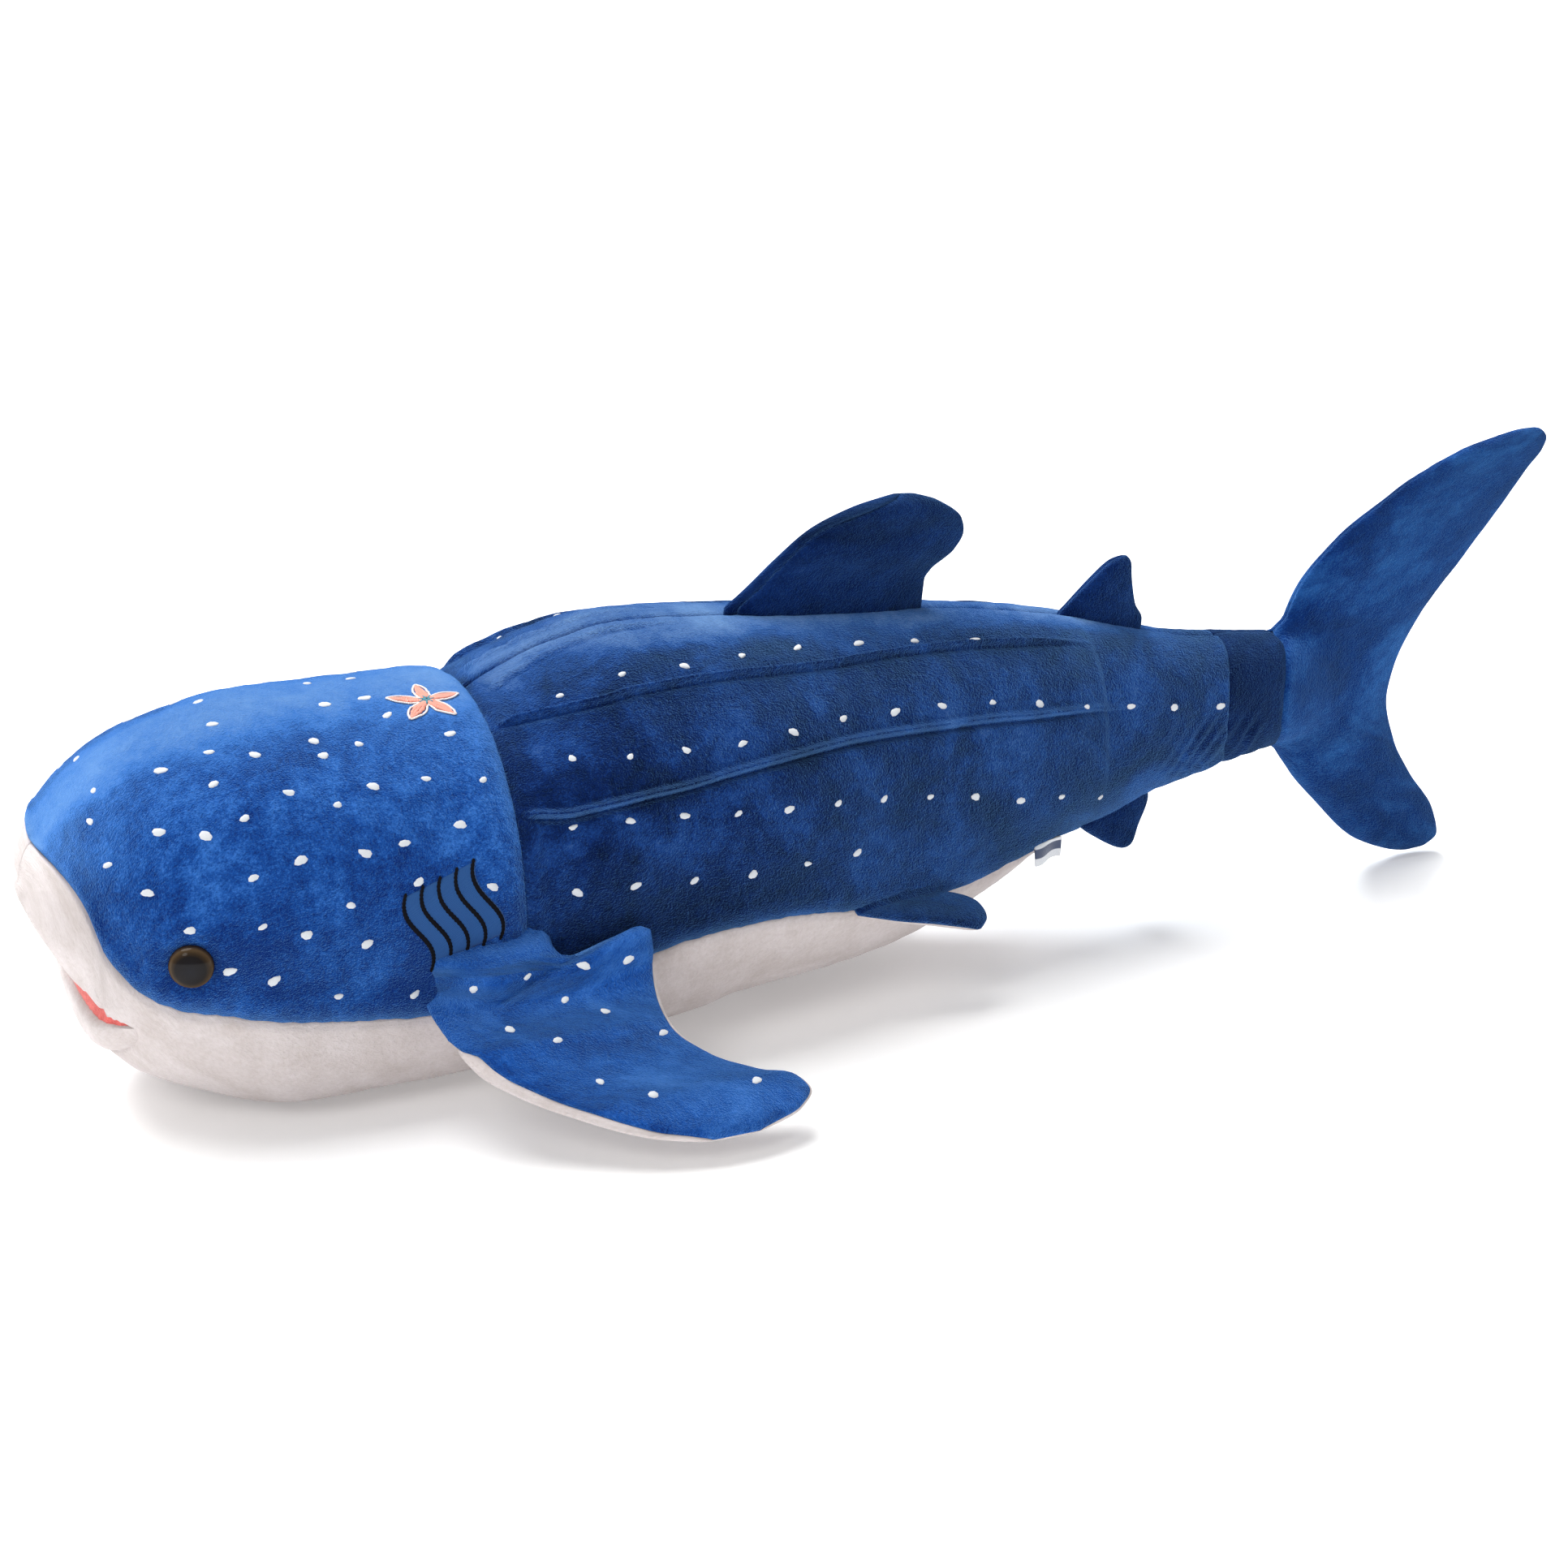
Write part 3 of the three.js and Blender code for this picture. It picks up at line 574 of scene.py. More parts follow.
def turn_at(station, z):
    """The turn at which the left side of the body reaches a height."""
    above = z - waist_line(station)
    share = min(1.0, abs(above) / girth_reach(station, above >= 0))
    exponent = UPPER_POWER if above >= 0 else lower_power(station)
    return math.copysign(math.asin(share ** (exponent / 2)), above)


def seam_turn(station):
    """Where the coloured cloth meets the white, with the slight waver of sewn pile."""
    waver = 0.8 * noise.noise((station / 5, 3.3, 0)) + 0.8 * noise.noise((station / 17, 8.1, 0))
    return turn_at(station, seam_line(station) + waver * smooth(10, 25, station))


def right_seam(station):
    """The same seam on the right side, reached by going round under the belly."""
    return -math.pi - seam_turn(station)


def crown(station):
    return TOP


def crown_from_below(station):
    return -math.pi - TOP


LINE_CROWD = 3.0  # how much closer together a panel's columns are along its sewn lines
LINE_REACH = 6.0
BODY = ("trunk", "tail_stock")
BODY_BEND = (row(BEND[0]), row(BEND[1]))


class Panel:
    """A grid of points over the body from one girth line to another, closer together near lines."""

    def __init__(self, rows, low, high, columns, side=1, lines=(), draw=None):
        fine = np.linspace(0, 1, 500)
        self.station = np.asarray(rows, float)[:, None]
        self.turn = np.empty((len(rows), columns))
        self.across = np.empty((len(rows), columns))
        self.turns, self.arcs = [], []
        for i, station in enumerate(rows):
            turns = low(station) + (high(station) - low(station)) * fine
            path = skin(station, turns)
            arc = np.concatenate([[0], np.cumsum(np.linalg.norm(np.diff(path, axis=0), axis=1))])
            crowd = 0 * arc + 1
            for line in lines:
                crowd += LINE_CROWD * hill(arc - np.interp(line(station), turns, arc), LINE_REACH)
            crowd = np.cumsum(crowd)
            share = np.linspace(crowd[0], crowd[-1], columns)
            self.across[i] = np.interp(share, crowd, arc)
            self.turn[i] = np.interp(self.across[i], arc, turns)
            self.turns.append(turns)
            self.arcs.append(arc)
        self.width = self.across[:, -1:]
        drawn = self.station if draw is None else self.station - draw(self.station, self.turn)
        self.points = skin(drawn, self.turn) * [1, side, 1]
        centre = np.concatenate([self.station, 0 * self.station, waist_line(self.station)], 1)
        self.normals = grid_normals(self.points, centre[:, None, :])

    def from_edge(self):
        """Distance across the cloth from its nearer seam."""
        return np.minimum(self.across, self.width - self.across)

    def from_line(self, turn):
        """Distance across the cloth from a girth line given as turn(station)."""
        where = [np.interp(turn(s), self.turns[i], self.arcs[i])
                 for i, s in enumerate(self.station[:, 0])]
        return self.across - np.array(where)[:, None]

    def raised(self, relief):
        return self.points + self.normals * relief[..., None]

    def cover(self, name, relief, material, ring=False):
        return shell(name, self.raised(relief), self.raised(relief - CLOTH), material, ring)


SEAM_DIP = 1.9
SEAM_WIDTH = 2.6


def dip(distance, depth=SEAM_DIP, width=SEAM_WIDTH):
    """The groove that a seam pulls into stuffed cloth."""
    return -depth * hill(distance, width)


def puckers(along, distance, pitch, height):
    """Short folds across a seam."""
    wander = 2.1 * np.sin(along / 23) + 1.3 * np.sin(along / 9.7)
    return height * np.sin(2 * np.pi * along / pitch + wander) * hill(distance - 4, 6)


# ---- the mouth ----
MOUTH = {"height": 60.5, "corner": 62.0, "rise": -1.0, "gap": 5.5, "depth": 6.0}
LIP = {"drop": 28.0, "proud": 6.0, "clear": 2.0}


def mouth_line(y):
    return MOUTH["height"] + MOUTH["rise"] * (y / MOUTH["corner"]) ** 2


HEAD_DEPTH = 110.0  # the snout's round front lies within this of its tip
HALVINGS = 40


def front_station(y, z):
    """The station at which the front of the body passes through a place seen from ahead."""
    low, high = np.zeros(np.shape(y)), np.full(np.shape(y), HEAD_DEPTH)
    for _ in range(HALVINGS):
        middle = (low + high) / 2
        above = z - waist_line(middle)
        exponent = np.where(above >= 0, UPPER_POWER, lower_power(middle))
        rise = np.abs(above) / girth_reach(middle, above >= 0)
        inside = (np.abs(y) / half_width(middle)) ** exponent + rise**exponent < 1
        high = np.where(inside, middle, high)
        low = np.where(inside, low, middle)
    return (low + high) / 2


def mouth_depth(y, z):
    """How far a place seen from ahead lies inside the mouth and lip outline, in millimetres."""
    share = np.sqrt((y / MOUTH["corner"]) ** 2 + (np.minimum(z - mouth_line(y), 0) / LIP["drop"]) ** 2)
    below = (1 - share) * LIP["drop"]
    taper = np.sqrt(np.clip(1 - (y / MOUTH["corner"]) ** 2, 0, 1))
    return np.minimum(below, mouth_line(y) + MOUTH["gap"] * taper - z)


def snout(station):
    """1 where the mouth lies, and 0 behind it."""
    return 1 - smooth(55, 70, station)


def front_patch(y, z, lift):
    """Points over the front of the body, lifted off it along its normals."""
    points = np.stack([front_station(y, z), y, z], -1)
    normals = grid_normals(points, np.array([60.0, 0, 80.0]))
    return points + normals * lift[..., None]


def front_grid(columns):
    """Shares across, from -1 to 1, and down, from 0 to 1, closer together at the corners of the mouth."""
    return np.sin(np.linspace(-1, 1, columns) * TOP)[:, None], np.linspace(0, 1, 26)[None, :]


def lower_lip(material):
    """The small stuffed pouch under the mouth, sewn along its lower edge."""
    across, down = front_grid(71)
    y = MOUTH["corner"] * 0.985 * across + 0 * down
    bottom = LIP["drop"] * np.sqrt(1 - (0.985 * across) ** 2)
    z = mouth_line(y) - LIP["clear"] * np.sqrt(1 - across**2) - (bottom - LIP["clear"]) * down
    ends = smooth(0, 0.35, 1 - np.abs(across))
    from_seam, from_rim = bottom * (1 - down), bottom * down
    lift = -2.2 + (2.2 + LIP["proud"] * ends) * (1 - np.exp(-from_seam / 4.5))
    lift = lift - 3.4 * ends * np.exp(-from_rim / 1.5)
    points = np.stack([y, z, 0 * y], -1)
    lift = lift + 0.25 * lumps(points, 7, 41)
    outer = front_patch(y, z, lift)
    inner = front_patch(y, z, np.minimum(lift - CLOTH, -3.2 + 0 * lift))
    piece = shell("lower_lip", outer, inner, material)
    return finish(piece, ("trunk", "lower_lip"), (row(33, z=33), row(24, z=55)),
                  ("lower_lip_panel", "lower_lip_filling"))


def mouth_cloth(material):
    """The coral cloth that lines the mouth, seen in the gap above the lower lip."""
    across, down = front_grid(61)
    y = MOUTH["corner"] * 0.97 * across + 0 * down
    taper = np.sqrt(1 - (0.97 * across) ** 2)
    drop = 19 * taper * down
    z = mouth_line(y) + (MOUTH["gap"] + 1.5) * taper - drop
    lift = -2.4 + 4.6 * taper * smooth(0, 8, drop) - 7 * taper * smooth(9, 14, drop)
    lift = lift + 0.25 * np.sin(60 * across) + 0 * y
    piece = shell("mouth_cloth", front_patch(y, z, lift), front_patch(y, z, lift - 0.8), material)
    return finish(piece, ("trunk",), replaces=("mouth_lining",))


# ---- body covers ----
EYE = {"station": 60, "height": 95, "radius": 10, "dome": 7.4, "rim": 1.6, "yaw": 17}
SEAM_START = 7.3  # station at which the blue cloth's seam begins over the snout
HEAD_COLUMNS, BACK_COLUMNS, BELLY_COLUMNS, WRIST_COLUMNS = 190, 128, 150, 120
HEAD_ROWS = stations(SEAM_START, COLLAR, 0.35, 2.4)
NOSE_ROWS = np.array([-1.2, -1.15, -1.0, -0.6, 0.0, 0.8, 1.8, 3.0, 4.2, 5.4, 6.5])
BACK_ROWS = stations(COLLAR, WRIST, 1.2, 2.4)


def from_eye(points):
    """How far points are from the nearer eye."""
    centre = np.array([EYE["station"], half_width(EYE["station"]), EYE["height"]])
    return np.linalg.norm(np.abs(points) - centre, axis=-1)


def collar_relief(station):
    return dip(station - COLLAR, 2.4, 2.8)


def head_cover(material):
    panel = Panel(HEAD_ROWS, seam_turn, lambda s: math.pi - seam_turn(s), HEAD_COLUMNS)
    edge = panel.from_edge()
    relief = plump(panel.points) + dip(edge) + collar_relief(panel.station)
    relief += 1.0 * hill(edge - 9, 7) + 1.2 * hill(panel.station - 199, 10)
    relief += puckers(panel.station, edge, 9, 0.45) * smooth(14, 30, panel.station)
    eye_away = from_eye(panel.points)
    relief += 0.8 * hill(eye_away - 17, 5) - 1.3 * hill(eye_away, 12)
    piece = panel.cover("head_cover", relief, material)
    # painted light on the top of the head and painted shade low on its sides
    paint_light_and_shade(piece, 0.92, 1.04, -20, 400, 0.24)
    return finish(piece, ("trunk",), replaces=("head_panel",))


def throat_cover(material):
    rows = np.concatenate([NOSE_ROWS, HEAD_ROWS])
    scale = np.sqrt(np.clip(1 - (np.minimum(NOSE_ROWS, 0) / NOSE_ROWS[0]) ** 2, 0, 1))
    panel = Panel(rows, right_seam, seam_turn, HEAD_COLUMNS)
    middle = np.array([0, 0, waist_line(0)])
    for i, share in enumerate(scale):  # the blunt tip of the nose closes to a point
        panel.points[i] = middle + (panel.points[i] - middle) * [1, share, share]
    panel.normals[: len(scale)] = unit(panel.normals[: len(scale)] + np.array([-0.001, 0, 0]))
    panel.normals[0] = (-1, 0, 0)
    y, z = panel.points[..., 1], panel.points[..., 2]
    edge = panel.from_edge()
    sewn = smooth(SEAM_START - 3, SEAM_START + 1.5, panel.station)
    relief = plump(panel.points) + dip(edge) * sewn + collar_relief(panel.station)
    relief -= MOUTH["depth"] * smooth(0, 3.2, mouth_depth(y, z)) * snout(panel.station)
    reach = smooth(0, 14, MOUTH["corner"] + 4 - np.abs(y))
    relief += 1.6 * hill(z - mouth_line(y) - 11, 6) * snout(panel.station) * reach
    piece = panel.cover("throat_cover", relief, material)
    return finish(piece, ("trunk",), replaces=("throat_panel",))


TUCK = 3.5  # height of a fold pinched and sewn along the back


def girth_line(*points):
    """A line along the body from (station, degrees round the girth) pairs, as turn(station)."""
    degrees = profile(*points)
    return lambda station: np.radians(degrees(station))


# each fold along the back: its line, its height, the depth of its groove, and where it fades away
FOLDS = (
    (girth_line((212, 65), (270, 57), (328, 58.5), (450, 61), (560, 60)), TUCK, 0.25, (490, 540)),
    (girth_line((212, 33), (240, 28), (280, 27), (328, 30), (386, 33), (453, 30), (517, 24), (590, 18)),
     TUCK, 0.7, (500, 560)),
    (girth_line((212, 80), (260, 84), (330, 85)), TUCK / 2, 0.7, (290, 330)),
)


def tuck(distance, height, groove):
    """A pinched fold sewn along the cloth, with a shadowed groove under it and a shallow one over it."""
    above, below = hill(distance - 2.7, 1.4), hill(distance + 2.6, 1.5)
    return height * (hill(distance, 1.5) - 0.05 * above - groove * below)


def stock_folds(panel):
    """Curved folds that gather the cloth towards the wrist of the tail."""
    height = panel.points[..., 2]
    wander = 6 * lumps(panel.points, 26, 81)
    wave = np.sin(2 * np.pi * (panel.station - 0.75 * (height - 100) + wander) / 11)
    along = smooth(560, 600, panel.station) * (1 - smooth(640, 654, panel.station))
    outward = smooth(0.25, 0.8, np.abs(panel.points[..., 1]) / half_width(panel.station))
    strength = 0.75 + 0.7 * lumps(panel.points, 15, 83)
    return 1.2 * wave * along * outward * strength * (1 - smooth(98, 124, height))


def back_cover(side, material):
    lines = [line for line, *_ in FOLDS[:2]]
    panel = Panel(BACK_ROWS, seam_turn, crown, BACK_COLUMNS, SIDES[side], lines, wrist_draw)
    station = panel.station
    relief = plump(panel.points)
    relief += dip(panel.across) + 1.0 * hill(panel.across - 9, 7)
    relief += dip(panel.width - panel.across, 1.7, 2.0) + collar_relief(station)
    relief -= 0.8 * hill(station - COLLAR - 6, 8)
    for line, height, groove, fade in FOLDS:
        along = smooth(214, 224, station) * (1 - smooth(*fade, station))
        relief += tuck(panel.from_line(line), height, groove) * along
    relief += stock_folds(panel) + wrist_seam(station)
    piece = panel.cover(f"back_cover_{side}", relief, material)
    # painted light along the top of the back
    paint_light_and_shade(piece, 0.93, 1.03, COLLAR, 600)
    return finish(piece, BODY, BODY_BEND,
                  (f"back_panel_{side}", f"tail_panel_{side}"))


BELLY_END = 556  # station at which the white cloth ends in a point


def belly_cover(material):
    panel = Panel(BACK_ROWS[BACK_ROWS < BELLY_END], right_seam, seam_turn, BELLY_COLUMNS)
    edge = panel.from_edge()
    relief = plump(panel.points) + dip(edge) + collar_relief(panel.station)
    piece = panel.cover("belly_cover", relief, material)
    return finish(piece, BODY, BODY_BEND,
                  ("belly_panel", "tail_belly_panel"))


SIDE_DRAW = 9.0  # how much farther forward the wrist's two seams lie on the sides than on top


def wrist_draw(station, turn):
    return SIDE_DRAW * np.cos(turn) ** 2 * smooth(WRIST - 60, WRIST, station)


def wrist_seam(station):
    return dip(station - WRIST, 0.4, 1.8)


def wrist_cover(material):
    """The short band before the tail fin, whose pile lies the other way."""
    rows = stations(WRIST, TAIL_SEAM + 1.5, 1.0, 1.6)
    panel = Panel(rows, crown_from_below, crown, WRIST_COLUMNS, draw=wrist_draw)
    relief = plump(panel.points) + stock_folds(panel)
    relief += wrist_seam(panel.station)
    relief -= 2.6 * smooth(TAIL_SEAM - 4, TAIL_SEAM + 1.5, panel.station)
    relief[:, 0] = relief[:, -1] = (relief[:, 0] + relief[:, -1]) / 2
    piece = panel.cover("tail_wrist_cover", relief, material)
    return finish(piece, ("tail_stock", "tail_fin"),
                  (row(WRIST_BEND[0]), row(WRIST_BEND[1])))


# ---- fins ----
def straight(origin, chord_slope, span_slope):
    """A flat fin's frame; c runs along its chord, u up its span and n to the toy's left."""
    chord = np.array([math.cos(math.radians(chord_slope)), 0, math.sin(math.radians(chord_slope))])
    span = np.array([math.cos(math.radians(span_slope)), 0, math.sin(math.radians(span_slope))])

    def place(c, u, n):
        side = np.array([0, -1, 0])
        return origin + c[..., None] * chord + u[..., None] * span + n[..., None] * side

    return place


def pelvic_place(c, u, n):
    plan, drop = math.radians(11), math.radians(42)
    chord = np.array([math.cos(plan), math.sin(plan), 0])
    flat = np.array([math.sin(plan), -math.cos(plan), 0])
    out = flat * math.cos(drop) + np.array([0, 0, -math.sin(drop)])
    up = flat * math.sin(drop) + np.array([0, 0, math.cos(drop)])
    return np.array([380, -79, 61]) + c[..., None] * chord + u[..., None] * out + n[..., None] * up


PECTORAL = {"y": 95.5, "z": 80, "span": 108, "root": math.radians(52), "tip": math.radians(24)}


def pectoral_place(c, u, n):
    """The pectoral fin droops: steep at its root and flatter towards its tip."""
    turn = (PECTORAL["tip"] - PECTORAL["root"]) / PECTORAL["span"]
    drop = PECTORAL["root"] + turn * u
    out = (np.sin(drop) - math.sin(PECTORAL["root"])) / turn
    down = (math.cos(PECTORAL["root"]) - np.cos(drop)) / turn
    z = PECTORAL["z"] - down + n * np.cos(drop)
    z = z + 15 * smooth(222, 264, c) * hill(u - 11, 17)  # the free corner behind the root stands up
    front = (1 - smooth(163, 194, c)) * (1 - smooth(22, 42, u)) * (6 + 0.75 * np.maximum(u, 0))
    sunk = front + 5 * (1 - smooth(-9, 3, u))  # the front and the root turn in to the body
    return np.stack([c, sunk - PECTORAL["y"] - out - n * np.sin(drop), z], -1)


LENS_POWER = 2.6
ROOT_ROUND = 12.0  # how far a fin takes to round off into its root
STEM_OVERLAP = 7.0  # how far the tail fin reaches in under the cloth of the wrist
SEAM_PULL = 1.4  # how far the seam round a fin draws its edge in


def no_wrap(u):
    return 0 * u


def pectoral_lead_wrap(u):
    """The blue cloth turns under the front of the root, and farther out the white cloth turns up."""
    return -0.75 + 1.2 * smooth(30, 46, u)


def pectoral_trail_wrap(u):
    """The blue cloth turns over the standing corner, and farther out the white cloth shows."""
    return -0.75 + 0.92 * smooth(13, 26, u)


def dorsal_lead_wrap(u):
    """The right face of the fin turns over its front, so the seam shows on the left."""
    return 0.42 + 0.6 * smooth(34, 54, u)


FINS = {
    "dorsal_fin": {
        "span": 55.5, "tip": 7, "root": -9, "thick": profile((0, 15), (20, 15), (55, 10)),
        "lead": profile((0, 0), (8, 9), (24, 25), (38, 41), (48, 61), (55.5, 85)),
        "trail": profile((0, 107), (12, 107), (17, 110), (27, 122), (36, 126), (43, 124), (52, 110),
                         (55.5, 97)),
        "place": straight(np.array([345, 0, 197.9]), -5.6, 84.4), "wrap": (dorsal_lead_wrap, no_wrap)},
    "second_dorsal_fin": {
        "span": 34.5, "tip": 5, "root": -9, "thick": profile((0, 10.5), (15, 10.5), (34.5, 8)),
        "lead": profile((0, 0), (19.5, 13.5), (30, 22), (34.5, 29)),
        "trail": profile((0, 52), (4, 51), (10.6, 44.8), (23, 38.5), (32, 35), (34.5, 33)),
        "place": straight(np.array([527, 0, 171.5]), -14.6, 75.4)},
    "anal_fin": {
        "span": 29, "tip": 5, "root": -9, "thick": profile((0, 10.5), (12, 10.5), (29, 8)),
        "lead": profile((0, 0), (4.4, 1), (14.8, 8.3), (27, 20.4), (29, 24)),
        "trail": profile((0, 46), (3, 46), (20, 35), (27, 30), (29, 27.5)),
        "place": straight(np.array([541, 0, 55]), 15.8, -74.2)},
    "pelvic_fin": {
        "span": 24, "tip": 6, "root": -9, "thick": profile((0, 9.5), (12, 9.5), (24, 7.5)),
        "lead": profile((0, 0), (9, 21), (15, 38), (21, 53), (24, 60)),
        "trail": profile((0, 52), (3, 60), (6, 65), (11, 69.5), (16, 70.5), (20, 69.5), (24, 65)),
        "place": pelvic_place},
    "pectoral_fin": {
        "span": 108, "tip": 7, "root": -12, "thick": profile((0, 14.5), (40, 15), (108, 10)),
        "lead": profile((0, 165), (24, 162), (51, 172), (67, 188), (81, 207), (100, 239), (108, 264)),
        "trail": profile((0, 222), (5, 226), (12, 266), (32, 265), (47, 268), (65, 282), (76, 300),
                         (84, 318), (91, 321), (100, 313), (108, 290)),
        "place": pectoral_place, "round": 8, "stuffed": 14.5,
        "wrap": (pectoral_lead_wrap, pectoral_trail_wrap)},
    "tail_fin": {
        "span": 235, "tip": 8, "root": 0,
        "thick": profile((0, 11), (40, 16), (80, 20), (110, 22), (140, 20), (180, 16), (235, 10)),
        "lead": profile((0, 741), (4, 733), (14, 714), (37, 691), (59, 672), (82, 659), (109, 657),
                        (137, 660), (161, 668), (189, 694), (203, 716), (214, 735), (227, 766),
                        (235, 796)),
        "trail": profile((0, 767), (7, 772), (22, 768), (47, 750), (68, 738), (94, 731), (111, 734),
                         (137, 747), (168, 773), (195, 796), (213, 810), (223, 819), (230, 821.5),
                         (235, 822)),
        "place": straight(np.array([0, 0, 3]), 0, 90)},
}


def stem_half(station, z):
    """Half the width of the body's end, where the tail fin's faces grow out of it."""
    above = z - waist_line(station)
    rise = np.abs(above) / girth_reach(station, above >= 0)
    round_off = np.clip(1 - rise**2.2, 0, 1) ** (1 / 2.2)
    return half_width(station) * round_off * (1 - smooth(690, 720, station))


def stem_side(z):
    """1 halfway up the side of the body's end, and 0 at its top and bottom."""
    above = z - waist_line(TAIL_SEAM)
    return np.clip(1 - (above / girth_reach(TAIL_SEAM, above >= 0)) ** 2, 0, 1)


def lens(swing):
    """The outline of a stuffed fin's cut, from -1 to 1, round from its leading edge."""
    return np.sign(np.sin(swing)) * (1 - np.abs(np.cos(swing)) ** LENS_POWER) ** 0.5


def fin_grid(fin, face, inset, rows, columns):
    """The outside of one face of a fin, drawn in by inset; face is 1 or -1 along the fin's n."""
    is_tail = fin is FINS["tail_fin"]
    t = np.linspace(0, 1, rows)[:, None]
    share = (1 - np.cos(np.pi * t)) / 2 if is_tail else np.sin(t * TOP)
    low, high = fin["root"] + (inset if is_tail else 0), fin["span"] - inset
    u = low + (high - low) * share
    wrap_lead, wrap_trail = (face * wrap(u) for wrap in fin.get("wrap", (no_wrap, no_wrap)))
    swing = wrap_lead + (np.pi - wrap_trail - wrap_lead) * np.linspace(0, 1, columns)[None, :]
    lead, trail = fin["lead"](u) + inset, fin["trail"](u) - inset
    if is_tail:
        side_on = stem_side(u + 3)
        lead = lead - STEM_OVERLAP * smooth(72, 82, u) * (1 - smooth(138, 148, u)) - SIDE_DRAW * side_on
    middle, reach = (lead + trail) / 2, (trail - lead) / 2
    fall = np.clip((u - high + fin["tip"]) / fin["tip"], 0, 1)
    if is_tail:
        fall = np.maximum(fall, np.clip((low + fin["tip"] - u) / fin["tip"], 0, 1))
    else:
        sunk = np.clip((fin.get("round", 0) - u) / ROOT_ROUND, 0, 1)
        fall = np.maximum(fall, 0.92 * sunk)
    half = np.maximum(fin["thick"](u) / 2 * np.sqrt(1 - fall**2) - inset, 0)
    reach = reach * (1 - fall**2) ** 0.25 if is_tail else reach
    pull = 0
    if inset == 0:
        for seam in (wrap_lead, np.pi - wrap_trail):
            away = np.hypot(reach * (np.cos(swing) - np.cos(seam)), half * (lens(swing) - lens(seam)))
            pull = pull + SEAM_PULL * hill(away, 1.7)
    c = middle - (reach - pull) * np.cos(swing)
    n = np.maximum(half - pull, 0) * lens(swing)
    if is_tail:
        seam = TAIL_SEAM - SIDE_DRAW * side_on
        under = 3.2 * (1 - smooth(seam - 2, seam + 2.5, c))
        stem = np.maximum(stem_half(c, u + 3) - inset - under, 0)
        n = (n**4 + stem**4) ** 0.25
    u = u + 0 * swing
    return c, u, n * face


def fin_point(fin, side, c, u, n):
    return fin["place"](c, u, n) * [1, side, 1]


def fin_face(name, fin, face, side, material, rows, columns, seed, extra=None):
    """One sewn face of a fin as a closed shell of cloth."""
    c, u, n = fin_grid(fin, face, 0, rows, columns)
    points = fin_point(fin, side, c, u, n)
    centre = fin_point(fin, side, c, u, n * 0 - 20.0 * face)
    normals = grid_normals(points, centre)
    flat = smooth(0, 4, c - fin["lead"](u)) * smooth(0, 4, fin["trail"](u) - c)
    flat = flat * smooth(0, 3, fin["span"] - u)
    relief = plump(points, seed, 0.5, 0.45, 0.2) * flat
    if extra is not None:
        relief = relief + extra(c, u) * flat
    outer = points + normals * relief[..., None]
    inner = fin_point(fin, side, *fin_grid(fin, face, 1.9, rows, columns))
    return shell(name, outer, inner, material)


# the body that each upright fin stands on
UPRIGHT = {"dorsal_fin": "trunk", "second_dorsal_fin": "tail_stock", "anal_fin": "tail_stock"}
UPRIGHT_TURN = (-1, 7)  # how far out from its root fin_bend puts an upright fin's two points; nothing turns the fin there
PAIRED_TURN = (-2, 9)


def fin_bend(name, sign=1):
    """Two points across the middle of a fin's root."""
    fin = FINS[name]
    middle = (fin["lead"](0) + fin["trail"](0)) / 2
    places = [(np.float64(middle), np.float64(out), np.float64(0))
              for out in (UPRIGHT_TURN if name in UPRIGHT else PAIRED_TURN)]
    return [row(*fin_point(fin, sign, *place)) for place in places]


def upright_fin(name, material, rows=44, columns=36):
    for label, face in SIDES.items():
        piece = fin_face(f"{name}_{label}_face", FINS[name], face, 1, material, rows, columns, 31 + face)
        finish(piece, (UPRIGHT[name], name), fin_bend(name), (f"{name}_{label}",))


def pectoral_crease(c, u):
    """The fold where the fin's shoulder bulges over its root."""
    line = u - (26 - 0.47 * (c - 183))
    near = smooth(166, 178, c) * (1 - smooth(216, 232, c))
    return (2.6 * hill(line + 10, 8) - 2.6 * hill(line, 2.6)) * near


def paired_fin(name, side, top, bottom, rows, columns, crease=None):
    sign = SIDES[side]
    faces = (("top", 1, top, "back_pile", crease), ("underside", -1, bottom, "belly_pile", None))
    for label, face, material, slot, extra in faces:
        piece = fin_face(f"{name}_{side}_{label}_face", FINS[name], face, sign, material, rows, columns,
                         51 + sign + 3 * face, extra)
        finish(piece, ("trunk", f"{name}_{side}"), fin_bend(name, sign),
               (f"{name}_{side}_{label}",))


def tail_fin(material):
    fin = FINS["tail_fin"]
    for label, face in SIDES.items():
        piece = fin_face(f"tail_fin_{label}_face", fin, face, 1, material, 150, 56, 61 + face)
        finish(piece, ("tail_fin",), replaces=(f"tail_fin_{label}",))


# ---- stuffing ----
def fibre():
    nodes = Nodes("fibre_wadding")
    where = nodes.add("ShaderNodeTexCoord").outputs["Object"]
    strands = nodes.noise(where, 420, 5, 0.7, 2.5)
    clouds = nodes.noise(where, 60, 3)
    tone = nodes.weighted((strands, 0.6), (clouds, 0.4))
    colour = nodes.ramp(tone, (0.3, (0.62, 0.61, 0.58)), (0.7, (0.86, 0.86, 0.84)))
    nodes.finish({"Base Color": colour, "Roughness": 1.0, "Sheen Weight": 0.4,
                  "Normal": nodes.bump(tone, 0.8, 0.002)})
    return nodes.material


